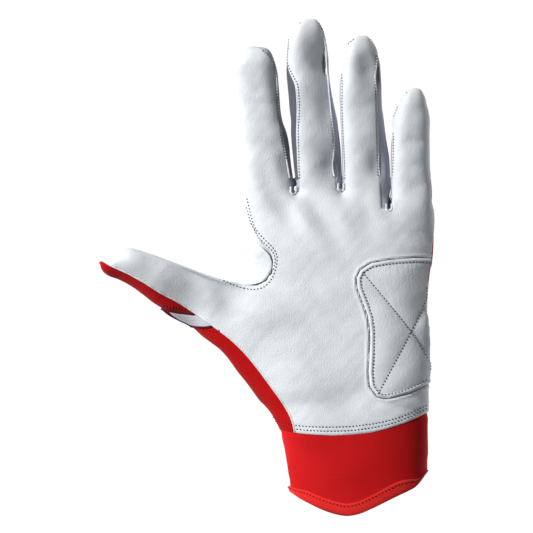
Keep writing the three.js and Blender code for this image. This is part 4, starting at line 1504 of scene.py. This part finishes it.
def pad_relief(edge, gaps):
    """The heel pad's folds, with a ridge inside its turned edge and its stitch rows pressed in."""
    turned = rolled([edge], 0.55, 1.1)

    def relief(points, normals):
        inside, cross = gaps(points)
        from_middle = 2 * inside / PAD_STITCH - 1
        ridge = 0.35 * np.clip(1 - from_middle**2, 0, 1) * (inside < PAD_STITCH)
        sewn = np.minimum(np.abs(inside - PAD_STITCH), np.where(inside > PAD_STITCH, cross, 9))
        pressed = 0.06 * np.exp(-((sewn / 0.45) ** 2))
        return creased(points, normals) * 0.6 + PAD_COVER_WALL + ridge - pressed + turned(points, normals)

    return relief


class GLOVE_OT_pad(bpy.types.Operator):
    """Blows the heel pad's leather up between its stitch lines, over a thin foam"""

    bl_idname = "glove.pad"
    bl_label = "Heel pad"

    def execute(self, context):
        low, high = (column(350), row(404), 20), (column(440), row(252), HAND_TOP)
        form = HandForm(low, high, PAD_CELL, list(FINGERS))
        crosses = [smooth_path(plan(line)) for line in PAD_CROSS]
        edge = both(under(PAD_OUTLINE), above_seam(-0.2))

        def gaps(points):
            """How far in from the pad's edge, and how far from its cross."""
            return -edge(points), np.min([np.abs(plan_distance(line, points)) for line in crosses], 0)

        points, faces = cut_piece(form, form.surface(), [], [edge])
        normals = form.normals(points)
        inside, cross = gaps(points)
        inner = np.clip(inside - PAD_STITCH, 0, None)
        held = (inner < 0.35) | (cross < PAD_HELD)
        rise = (blown(points, faces, held) * normals).sum(1)
        moved = normals * eased(rise, faces, held, PAD_HEIGHT)[:, None]
        plain, relief = raised(points, normals, pad_relief(edge, gaps))
        outer = plain + moved
        shaded = relief + vertex_normals(points + moved, faces) - normals
        shaded /= np.linalg.norm(shaded, axis=1, keepdims=True)
        remember("pad", outer, faces)
        cover = new_mesh("heel_pad_cover_skin", *walled(outer, shaded, normals, faces, PAD_COVER_WALL))
        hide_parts("heel_pad_cover")
        dress(cover, SHARED["leather"], "hand")
        # Foam sheet, cut to the pad less its sewn border and laid against the puffed leather
        keep = (inner[faces] > 1.0).all(1)
        used, foam_faces = np.unique(faces[keep], return_inverse=True)
        top = (points + moved - normals * 0.2)[used]
        sheet = walled(top, shaded[used], normals[used], foam_faces.reshape(-1, 3), PAD_FOAM_WALL)
        foam = new_mesh("heel_pad_foam_sheet", *sheet)
        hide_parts("heel_pad_foam")
        dress(foam, SHARED["foam"], "hand")
        return {"FINISHED"}


def in_slit(points):
    """Above zero within the slit in the back of the cuff."""
    beside = SLIT_WIDTH / 2 - np.abs(points[:, 0] - SLIT_CENTRE)
    return np.min([beside, SLIT_TOP - points[:, 1], SLIT_DEPTH - points[:, 2]], 0)


def wrist_piece(name, node, key, points, normals, wall, finish):
    """A piece made of rings of points round the wrist, open at the slit and walled."""
    faces = grid_faces(*points.shape[:2], True)
    packed = np.concatenate([points, normals], -1).reshape(-1, 6)
    packed, faces = clipped(packed, faces, in_slit(packed))
    points, normals = packed[:, :3], packed[:, 3:]
    normals = normals / np.linalg.norm(normals, axis=1, keepdims=True)
    faces = facing(points, faces, normals)
    remember(key, points, faces)
    piece = new_mesh(name, *walled(points, normals, normals, faces, wall))
    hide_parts(node)
    dress(piece, SHARED[finish], "hand")


class GLOVE_OT_cuff(bpy.types.Operator):
    """Makes the cuff's tube, its slit and the folded tape that binds its scalloped end"""

    bl_idname = "glove.cuff"
    bl_label = "Cuff and binding"

    def execute(self, context):
        around = even_turns(CUFF_COLUMNS)
        foot = wrist_ring(around)
        end = end_height(CUFF_END, foot[:, 0])
        self.tube(around, foot, end)
        self.tape(around, foot, end)
        return {"FINISHED"}

    def tube(self, around, foot, end):
        """The neoprene, tucked under the hem, pinched by the tape and puffed at its outer corner."""
        share = np.linspace(0, 1, CUFF_ROWS)[:, None]
        turn = np.broadcast_to(around, (CUFF_ROWS, len(around)))
        top = end_height(HEM, foot[:, 0]) + CUFF_OVERLAP
        y = top + (end + 0.8 - top) * share
        below = top - CUFF_OVERLAP - y
        tuck = -0.8 + 0.7 * step(-0.5, 3.5, below)
        swell = 0.35 * np.sin(turn * 3 + y / 9.0) + 0.2 * np.sin(turn * 7 + y / 5.0 + 1.0)
        pinch = -0.45 * step(9.0, 4.0, np.abs(y - end - 0.5))
        corner = np.exp(-(((foot[:, 0] - column(414)) / 4.5) ** 2) - ((y - row(474)) / 3.2) ** 2)
        puff = corner * step(24, 30, foot[:, 2])
        points, normals = trunk_point(turn, y, tuck + swell * step(0, 6, below) * 0.5 + pinch + puff)
        wrist_piece("cuff_tube", "cuff", "cuff", points, normals, CUFF_WALL, "neoprene")

    def tape(self, around, foot, end):
        """The tape: outer face, fold and inner face over the cuff's end."""
        profile = smooth_path(TAPE_SECTION, 0.45)
        up, off = profile[:, :1], profile[:, 1:]
        turn = np.broadcast_to(around, (len(profile), len(around)))
        crinkle = 0.09 * np.sin(np.arange(len(around)) * 1.9) * np.sin(np.arange(len(around)) * 0.7)
        y = end + up * tape_width(foot) / BINDING_WIDTH
        points, normals = trunk_point(turn, y, off - 0.15 + crinkle * (off > 0))
        rounds = np.gradient(profile, axis=0)
        rounds /= np.hypot(*rounds.T)[:, None]
        rise, stand = rounds[:, 0, None, None], rounds[:, 1, None, None]
        shaded = stand * np.array([0.0, 1.0, 0.0]) - rise * normals
        wrist_piece(
            "cuff_binding_tape", "cuff_binding", "binding", points, shaded, TAPE_WALL,
            "tape",
        )


def back_slab(name, x_range, y_range, low, high, rounding):
    """A flat strip that follows the back of the cuff between two heights off it, with soft edges."""
    x_steps, y_steps = max(8, int((x_range[1] - x_range[0]) / 0.7)), 24
    x, y = np.meshgrid(np.linspace(*x_range, x_steps), np.linspace(*y_range, y_steps), indexing="ij")
    x0, a, z0, b = trunk_section(y)
    u = np.clip((x - x0) / a, -0.97, 0.97)
    v = -((1 - np.abs(u) ** TRUNK_POWER) ** (1 / TRUNK_POWER))
    n = trunk_normal(u, v, a, b)
    from_edge = np.min([x - x_range[0], x_range[1] - x, y - y_range[0], y_range[1] - y], 0)
    inwards = np.clip(1 - from_edge / (rounding * 2), 0, 1)
    fall = rounding * (1 - np.sqrt(1 - inwards**2))
    outer = (np.stack([x, y, z0 + b * v], -1) + n * (high - fall)[..., None]).reshape(-1, 3)
    n = n.reshape(-1, 3)
    faces = facing(outer, grid_faces(x_steps, y_steps), n)
    return new_mesh(name, *walled(outer, n, n, faces, high - low))


# Piece, node, place across, mm narrower than the strap on either side, lower and upper face off the
# wrist in mm, material, slot and body
STRAP_PIECES = [
    ("closure_strap_band", "closure_strap", "strap", 0, 2.5, 3.7, "neoprene", "strap_neoprene", "strap"),
    ("strap_anchor_end", "strap_anchor", "anchor", 0, 0.3, 3.7, "neoprene", "strap_neoprene", "hand"),
    ("strap_pull_tab_grip", "strap_pull_tab", "tab", 1.5, 2.5, 3.7, "rubber", "tab_rubber", "strap"),
    ("strap_hook_tape", "strap_hook_patch", "patch", 1.5, 1.4, 2.2, "hook", "hook_tape", "strap"),
    ("cuff_loop_tape", "cuff_loop_patch", "patch", 1.5, 0.35, 1.1, "loop", "loop_tape", "hand"),
]


class GLOVE_OT_strap(bpy.types.Operator):
    """Makes the closure on the back of the cuff: strap, its sewn end, tab and both patches"""

    bl_idname = "glove.strap"
    bl_label = "Closure strap"

    def execute(self, context):
        for name, node, span, inset, low, high, finish, slot, body in STRAP_PIECES:
            y_range = (STRAP_Y[0] + inset, STRAP_Y[1] - inset)
            piece = back_slab(name, STRAP_X[span], y_range, low, high, 0.3 if high - low < 1 else 0.45)
            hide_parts(node)
            dress(piece, SHARED[finish], body)
        return {"FINISHED"}


WEB_WALL, WEB_DROP = 0.7, 0.35  # mm, the knit's wall and how far it lies below the leather


class GLOVE_OT_webs(bpy.types.Operator):
    """Sews the small knit webs into the gaps between the finger bases"""

    bl_idname = "glove.webs"
    bl_label = "Webs"

    def execute(self, context):
        hand, skin, cuts = SHARED["hand"], SHARED["hand_skin"], off_fingers()
        for key in NOTCHES:
            parts = []
            for side in (0, 1):
                points, faces = cut_piece(hand, skin, cuts, [both(web_strip(key, side), above_seam())])
                normals = hand.normals(points)
                outer, shaded = raised(points, normals, lambda p, n: creased(p, n) * 0.5 - WEB_DROP)
                parts.append(walled(outer, shaded, normals, faces, WEB_WALL))
            web = new_mesh(key + "_web_knit", *joined(parts))
            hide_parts(key + "_web")
            dress(web, SHARED["strip"], "hand")
        return {"FINISHED"}


def stitch_tree():
    """Geometry Nodes that lay one thread stitch on each point, along its seam and up from the surface."""
    tree = bpy.data.node_groups.new("lay_stitches", "GeometryNodeTree")
    face = tree.interface
    face.new_socket("Geometry", in_out="INPUT", socket_type="NodeSocketGeometry")
    for name in ("Length", "Width"):
        face.new_socket(name, in_out="INPUT", socket_type="NodeSocketFloat")
    face.new_socket("Thread", in_out="INPUT", socket_type="NodeSocketMaterial")
    face.new_socket("Geometry", in_out="OUTPUT", socket_type="NodeSocketGeometry")

    given = add(tree, "NodeGroupInput").outputs
    ball = add(tree, "GeometryNodeMeshUVSphere", i0=8, i1=6, i2=0.5)
    along = add(tree, "GeometryNodeInputNamedAttribute", {"data_type": "FLOAT_VECTOR"}, i0="along")
    up = add(tree, "GeometryNodeInputNamedAttribute", {"data_type": "FLOAT_VECTOR"}, i0="up")
    first = add(tree, "FunctionNodeAlignRotationToVector", {"axis": "X"}, i2=along.outputs[0])
    turned = {"axis": "Z", "pivot_axis": "X"}
    second = add(tree, "FunctionNodeAlignRotationToVector", turned, i0=first.outputs[0], i2=up.outputs[0])
    size = add(tree, "ShaderNodeCombineXYZ", i0=given["Length"], i1=given["Width"], i2=given["Width"])
    laid = add(
        tree, "GeometryNodeInstanceOnPoints",
        i0=given["Geometry"], i2=ball.outputs[0], i5=second.outputs[0], i6=size.outputs[0],
    )
    real = add(tree, "GeometryNodeRealizeInstances", i0=laid.outputs[0])
    smooth = add(tree, "GeometryNodeSetShadeSmooth", i0=real.outputs[0])
    painted = add(tree, "GeometryNodeSetMaterial", i0=smooth.outputs[0], i2=given["Thread"])
    add(tree, "NodeGroupOutput", i0=painted.outputs[0])
    return tree


# Rows of stitches noted by body and thread: places, ways along the row and ways up
ROWS = {}
PALM, GUSSET_COVER = "palm_leather_cover", "crotch_gusset_cover"
STITCH_LIFT = 0.08  # mm that a stitch lies above its surface
FINGER_PITCH, VENT_PITCH, TAPE_PITCH = 1.35, 1.4, 1.7  # mm from stitch to stitch in these rows
TAPE_STITCHES = 70  # places round the wrist that the tape's row is laid through
TAPE_STITCH = 0.8  # share of the tape's width from the cuff's end to its stitch row
NARROW_TAPE = 2.4  # mm of tape that are too narrow to be sewn
SEAM_INSET, EDGE_INSET = 0.95, 0.1  # mm from a finger seam to its stitches and to its turned edge
LOOP_RADIUS, LOOP_SINK = 0.5, 0.45  # mm, the web loops and how far they lie in the leather
PAD_SHADOW_LINE_RADIUS = 0.2  # mm, the painted shadow line round the heel pad


def sew(body, thread, path, on, spacing=None):
    """Notes a row of stitches along a path in mm, laid on some pieces."""
    spacing = spacing or settings().stitch_pitch / MM
    places, normals = laid_on(on, smooth_path(path, spacing))
    if len(places) < 3:
        return
    along = np.gradient(places, axis=0)
    along /= np.maximum(np.linalg.norm(along, axis=1, keepdims=True), 1e-9)
    ROWS.setdefault((body, thread), []).append((places + normals * STITCH_LIFT, along, normals))


# Rows of stitches and edge lines in plan: column and row pixels
HEM_STITCHES = [
    [(296, 424.9), (313, 426.2), (334, 426.4), (352, 425.6), (371, 423.4), (388, 420), (402, 415.6),
     (415, 410.4), (429, 403.8)],
    [(297, 428.6), (313, 430), (334, 430.4), (352, 429.6), (371, 427.2), (388, 423.6), (402, 419),
     (415, 413.8), (429, 407.4)],
]
GUSSET_FOLD = [
    (254.5, 239.5), (264, 249), (269.8, 255), (272.3, 262), (272, 271), (269, 276), (265, 281),
    (258, 284), (250, 285), (242, 284.6),
]
GUSSET_STITCHES = [
    [(247, 199), (249, 207), (251.6, 218), (256.5, 230), (265, 240), (273, 248), (276.6, 255), (277, 261),
     (275.4, 269), (272, 278), (266, 285.4), (259, 288.8), (250, 289.4), (241, 287.5), (233, 284.5),
     (224, 281)],
    [(246.5, 208), (250, 221), (255, 231), (260.5, 239), (267, 245.6), (272, 251), (274.6, 256),
     (275, 262), (273.6, 269)],
]
VENT_STITCHES = [
    [(164, 306.6), (172, 308), (181, 309.4), (190, 311.4)],
    [(163, 305), (171, 306.4), (180, 307.6), (188, 309.6)],
    [(200, 329), (209, 331), (216, 332)],
]
SIDE_STITCHES = [[(273, 417.5), (280, 420.5), (291, 424)], [(274.5, 422), (282, 425), (292.5, 428.5)]]


def finger_seam_path(name, side, inset):
    """Points along one edge of a finger's front, moved onto the front by an inset in mm."""
    rows = np.arange(FINGERS[name][-1][0] + 5, CREASES[name][1] + 1, 1.5)
    middle, half, _, depth = finger_frame(name, rows)
    turn = seam_turn(name, side, rows) - np.degrees(inset / np.sqrt(half * depth))
    angle = np.radians(90 + turn if side == 0 else 90 - turn)
    u, v = np.cos(angle), np.sin(angle)
    r = (np.abs(u) ** FINGER_POWER + np.abs(v) ** FINGER_POWER) ** (-1 / FINGER_POWER)
    return np.stack([middle + half * u * r, row(rows)], 1)


def on_thumb(path):
    """Which points of a path in plan lie on the thumb's side of its crease."""
    return beyond_crease("thumb")(path) < 0


def left_of(path, distance):
    """A path in plan moved to its left by a distance in mm."""
    way = np.gradient(path, axis=0)
    way /= np.linalg.norm(way, axis=1, keepdims=True)
    return path + distance * np.stack([-way[:, 1], way[:, 0]], 1)


def tube(path, radius, sides=8):
    """A round tube's points and triangles along a path in mm, with closed ends."""
    path = np.asarray(path, float)
    apart = np.append(True, np.linalg.norm(np.diff(path, axis=0), axis=1) > 0.05)
    radius = np.broadcast_to(np.asarray(radius, float), len(path))[apart]
    path = path[apart]
    along = np.gradient(path, axis=0)
    along /= np.maximum(np.linalg.norm(along, axis=1, keepdims=True), 1e-9)
    side, up = tangents(along)
    for i in range(1, len(path)):
        side[i] = side[i - 1] - along[i] * (side[i - 1] @ along[i])
        side[i] /= np.linalg.norm(side[i])
        up[i] = np.cross(along[i], side[i])
    turn = np.linspace(0, 2 * math.pi, sides, endpoint=False)
    ring = side[:, None] * np.cos(turn)[None, :, None] + up[:, None] * np.sin(turn)[None, :, None]
    points = (path[:, None] + ring * radius[:, None, None]).reshape(-1, 3)
    faces = grid_faces(len(path), sides, True)
    count = len(points)
    j = np.arange(sides)
    last = count - sides
    caps = np.concatenate([
        np.stack([np.full(sides, count), (j + 1) % sides, j], 1),
        np.stack([np.full(sides, count + 1), last + j, last + (j + 1) % sides], 1),
    ])
    points = np.concatenate([points, path[:1], path[-1:]])
    faces = np.concatenate([faces, caps])
    a, b, c = (points[faces[:, i]] for i in range(3))
    if (a * np.cross(b, c)).sum() < 0:
        faces = faces[:, ::-1]
    return points, faces


def tubes(name, paths, radius):
    """One object of several tubes."""
    points, faces, count = [], [], 0
    for path in paths:
        p, f = tube(path, radius)
        points.append(p)
        faces.append(f + count)
        count += len(p)
    return new_mesh(name, np.concatenate(points), np.concatenate(faces))


class GLOVE_OT_stitches(bpy.types.Operator):
    """Sews every visible row of stitches and lays the turned leather edges beside the finger strips"""

    bl_idname = "glove.stitches"
    bl_label = "Stitches and turned edges"

    def execute(self, context):
        sizes = settings()
        bead = sizes.bead_width / MM / 2
        self.sew_palm()
        for line in VENT_STITCHES:
            sew("thumb_stall", "crimson", plan(line), ["thumb_back_cover"], VENT_PITCH)
        for line in SIDE_STITCHES:
            sew("hand", "crimson", plan(line), ["radial_side_panel_cover"])
        self.sew_tape()
        self.white_edge(bead)
        self.finger_edges(bead)
        self.web_loops()
        self.edge_shadow_lines()
        self.lay_threads(context, sizes)
        return {"FINISHED"}

    def sew_palm(self):
        """The grey rows along the gusset, round and across the heel pad and along the hem."""
        for line in GUSSET_STITCHES:
            run = smooth_path(plan(line), 0.5)
            far = on_thumb(run) & (run[:, 1] < row(278))
            sew("hand", "grey", run[~far], [PALM, GUSSET_COVER])
            if far.any():
                sew("thumb_stall", "grey", run[far], ["thumb_front_cover"])
        # The pad lies on the left of its outline, and its row begins and ends one point further in
        outline = plan(PAD_OUTLINE)
        way = outline[2:] - outline[:-2]
        way /= np.linalg.norm(way, axis=1, keepdims=True)
        sew("hand", "grey", outline[1:-1] + np.stack([-way[:, 1], way[:, 0]], 1) * PAD_STITCH, ["pad"])
        for line in PAD_CROSS:
            sew("hand", "grey", plan(line), ["pad"])
        for line in HEM_STITCHES:
            sew("hand", "grey", plan(line), [PALM])

    def white_edge(self, bead):
        """The turned leather edge from the thumb's tip to the cuff, in two beads."""
        line = left_of(smooth_path(plan(WHITE_EDGE), 0.8), 0.35)
        far = on_thumb(line)
        for body, chosen, on, bend in (
            ("hand", ~far, PALM, None),
            ("thumb_stall", far, "thumb_front_cover", "thumb"),
        ):
            path, up = laid_on([on], line[chosen])
            edge = tubes(body + "_turned_edge", [path + up * 0.02], bead)
            dress(edge, SHARED["leather"], body, bend=bend)

    def sew_tape(self):
        """The crimson row in the binding tape; it ends where the tape narrows at the outer side."""
        around = even_turns(TAPE_STITCHES)
        ring = wrist_ring(around, -100.0)
        y = end_height(CUFF_END, ring[:, 0]) + tape_width(ring) * TAPE_STITCH
        ring, _ = trunk_point(around, y, np.full(len(around), 0.6))
        wide = tape_width(ring) > NARROW_TAPE
        first = np.flatnonzero(wide & ~np.roll(wide, 1))[0]
        ring, wide = np.roll(ring, -first, 0), np.roll(wide, -first)
        sew("hand", "crimson", ring[wide], ["binding"], TAPE_PITCH)

    def finger_edges(self, bead):
        """A row of stitches and a turned leather edge along each side of the finger fronts."""
        for name in FINGERS:
            front, edges = [name + "_front_cover"], []
            for side in (0, 1):
                if FRONT_SEAMS[name][side] is None:
                    continue
                row_path = finger_seam_path(name, side, SEAM_INSET)
                sew(name + "_stall", "grey", row_path, front, FINGER_PITCH)
                edge_path = smooth_path(finger_seam_path(name, side, EDGE_INSET), 0.7)
                path, up = laid_on(front, edge_path)
                edges.append(path - up * 0.05)
            edge = tubes(name + "_turned_edges", edges, bead)
            dress(edge, SHARED["leather"], name + "_stall", bend=name)

    def web_loops(self):
        """The leather cords that hug the foot of each gap between two fingers."""
        turn = np.linspace(-0.1 * math.pi, 1.1 * math.pi, 15)
        round_foot = np.stack([-np.cos(turn), -np.sin(turn)], 1)
        legs = np.stack([np.full(4, -0.95), np.linspace(1.3, 0.4, 4)], 1)
        way = np.concatenate([legs, round_foot, legs[::-1] * (-1, 1)])
        loops = []
        for notch in NOTCHES.values():
            centre = plan([notch])[0] + (0, 0.9)
            # Each lies at the height of the leather a little further out
            leather, _ = laid_on([PALM], centre + way * (2.4, 2.2))
            path = np.column_stack([centre + way * (1.3, 1.5), leather[:, 2] - LOOP_SINK])
            loops.append(smooth_path(path, 0.4))
        dress(tubes("web_edge_loops", loops, LOOP_RADIUS), SHARED["leather"], "hand")

    def edge_shadow_lines(self):
        """Thin charcoal tubes laid as painted shadow lines where edges cast a line: under the gusset's
        fold and round the heel pad.
        """
        shadow_line = thread_material("Painted shadow line, charcoal", linear("#33373B"))
        # The gusset's painted shadow line is darkest, as a thicker tube, at the foot of the crotch
        path, up = laid_on([GUSSET_COVER, PALM], smooth_path(plan(GUSSET_FOLD), 0.5))
        share = np.linspace(0, 1, len(path))
        thick = 0.1 + 0.36 * step(0, 0.5, share) * step(1, 0.72, share)
        dress(tubes("gusset_fold_painted_shadow", [path - up * 0.12], thick), shadow_line, "hand")
        # The pad's painted shadow line runs in the groove round its edge
        path, up = laid_on([PALM, "pad"], smooth_path(plan(PAD_OUTLINE), 0.5)[14:-14])
        dress(tubes("pad_edge_painted_shadow", [path - up * 0.05], PAD_SHADOW_LINE_RADIUS), shadow_line, "hand")

    def lay_threads(self, context, sizes):
        """Turns the noted rows into threads, one object for each body and thread."""
        tree = stitch_tree()
        items = tree.interface.items_tree
        sockets = {item.name: item.identifier for item in items if item.in_out == "INPUT"}
        grey, crimson = context.scene.glove_colours.thread, linear("#7A0E10")
        threads = {
            "grey": (thread_material("Bonded polyester thread, grey", grey), "leather"),
            "crimson": (thread_material("Bonded polyester thread, crimson", crimson), "back_fabric"),
        }
        for (body, thread), rows in ROWS.items():
            material, slot = threads[thread]
            places, along, up = (np.concatenate([part[k] for part in rows]) for k in range(3))
            mesh = bpy.data.meshes.new("needle_points")
            mesh.from_pydata((places * MM).tolist(), [], [])
            for key, values in (("along", along), ("up", up)):
                attribute = mesh.attributes.new(key, "FLOAT_VECTOR", "POINT")
                attribute.data.foreach_set("vector", values.ravel())
            holder = bpy.data.objects.new("needle_points", mesh)
            context.scene.collection.objects.link(holder)
            modifier = holder.modifiers.new("stitches", "NODES")
            modifier.node_group = tree
            modifier[sockets["Length"]] = sizes.stitch_length
            modifier[sockets["Width"]] = sizes.thread_width
            modifier[sockets["Thread"]] = material
            context.view_layer.update()
            done = holder.evaluated_get(context.evaluated_depsgraph_get())
            made = bpy.data.meshes.new_from_object(done)
            bpy.data.objects.remove(holder)
            threads_thing = bpy.data.objects.new(f"{body}_stitches_{thread}", made)
            context.scene.collection.objects.link(threads_thing)
            digit = None if body == "hand" else body.replace("_stall", "")
            dress(threads_thing, material, body, bend=digit)


FLOOR_HALF, FLOOR_DROP = 2500, 0.2  # mm from the middle to the floor's edge, and under the glove
LAMP_PLACE = (-0.92, 0.5, 0.86)  # metres; the lamp looks at the middle of the glove
LAMP_SIZE, LAMP_POWER = 0.4, 25.5  # metres and watts
ROOM_LIGHT = 0.12
CAMERA_HEIGHT, FOCUS_HEIGHT = 4.0, 0.02  # metres; the picture's scale holds at the focus height
SENSOR = 36.0  # mm


class GLOVE_OT_stage(bpy.types.Operator):
    """Lays a pale floor, sets soft studio lights and puts the camera over the palm"""

    bl_idname = "glove.stage"
    bl_label = "Stage"

    def execute(self, context):
        scene = context.scene
        self.floor(scene)
        self.lights(scene)
        self.camera(scene)
        scene.view_settings.view_transform = "Standard"
        scene.view_settings.look = "None"
        return {"FINISHED"}

    def floor(self, scene):
        """A sheet of matt paper that gives off an even white."""
        corners = np.array([(-1, -1, 0), (1, -1, 0), (1, 1, 0), (-1, 1, 0)]) * FLOOR_HALF
        floor = new_mesh("floor", corners - (0, 0, FLOOR_DROP), [(0, 1, 2, 3)])
        paper = new_material("Matt paper, white")
        place = add(paper, "ShaderNodeTexCoord").outputs["Object"]
        tooth = add(paper, "ShaderNodeTexNoise", Vector=place, Scale=900.0)
        bump = add(paper, "ShaderNodeBump", Height=tooth.outputs[0], Strength=0.02, Distance=0.0002)
        finish_material(
            paper, Base_Color=linear("#3A3A3A"), Roughness=0.9, Normal=bump.outputs[0],
            Specular_IOR_Level=0.1, Emission_Color=scene.glove_colours.floor, Emission_Strength=1.0,
        )
        floor.data.materials.append(paper)

    def lights(self, scene):
        """A dim room and one soft lamp at the upper left."""
        scene.world = bpy.data.worlds.new("soft_room")
        scene.world.use_nodes = True
        room = scene.world.node_tree.nodes["Background"].inputs
        room["Color"].default_value = linear("#F4F7FF")
        room["Strength"].default_value = ROOM_LIGHT
        light = bpy.data.lights.new("key", "AREA")
        light.size, light.energy = LAMP_SIZE, LAMP_POWER
        lamp = bpy.data.objects.new("key", light)
        lamp.location = LAMP_PLACE
        lamp.rotation_euler = (-Vector(LAMP_PLACE)).to_track_quat("-Z", "Y").to_euler()
        scene.collection.objects.link(lamp)

    def camera(self, scene):
        """A camera straight above, framed as the photograph."""
        camera = bpy.data.cameras.new("camera")
        camera.sensor_width = SENSOR
        camera.lens = SENSOR * (CAMERA_HEIGHT - FOCUS_HEIGHT) / (FRAME_PIXELS * PIXEL * MM)
        camera.clip_end = 20.0
        eye = bpy.data.objects.new("camera", camera)
        middle = FRAME_PIXELS / 2
        eye.location = (float(column(middle)) * MM, float(row(middle)) * MM, CAMERA_HEIGHT)
        scene.collection.objects.link(eye)
        scene.camera = eye


STEPS = [
    ("glove.fingers", GLOVE_OT_fingers),
    ("glove.thumb", GLOVE_OT_thumb),
    ("glove.hand", GLOVE_OT_hand),
    ("glove.webs", GLOVE_OT_webs),
    ("glove.pad", GLOVE_OT_pad),
    ("glove.cuff", GLOVE_OT_cuff),
    ("glove.strap", GLOVE_OT_strap),
    ("glove.stitches", GLOVE_OT_stitches),
    ("glove.stage", GLOVE_OT_stage),
]


class GLOVE_PT_pieces(bpy.types.Panel):
    """The glove's pieces and sizes"""

    bl_idname = "GLOVE_PT_pieces"
    bl_label = "Batting glove"
    bl_space_type = "VIEW_3D"
    bl_region_type = "UI"
    bl_category = "Glove"

    def draw(self, context):
        for group in (context.scene.glove, context.scene.glove_colours):
            for name in group.__annotations__:
                self.layout.prop(group, name)
        for idname, _ in STEPS:
            self.layout.operator(idname)


CLASSES = [GloveSizes, GloveColours, *[kind for _, kind in STEPS], GLOVE_PT_pieces]


def register():
    """Adds the glove's settings, operators and panel."""
    for kind in CLASSES:
        bpy.utils.register_class(kind)
    bpy.types.Scene.glove = bpy.props.PointerProperty(type=GloveSizes)
    bpy.types.Scene.glove_colours = bpy.props.PointerProperty(type=GloveColours)


def unregister():
    """Takes them away again."""
    del bpy.types.Scene.glove_colours
    del bpy.types.Scene.glove
    for kind in reversed(CLASSES):
        bpy.utils.unregister_class(kind)


def main():
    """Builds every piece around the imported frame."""
    register()
    prepare()
    for idname, _ in STEPS:
        group, name = idname.split(".")
        getattr(getattr(bpy.ops, group), name)()


if __name__ == "__main__":
    main()
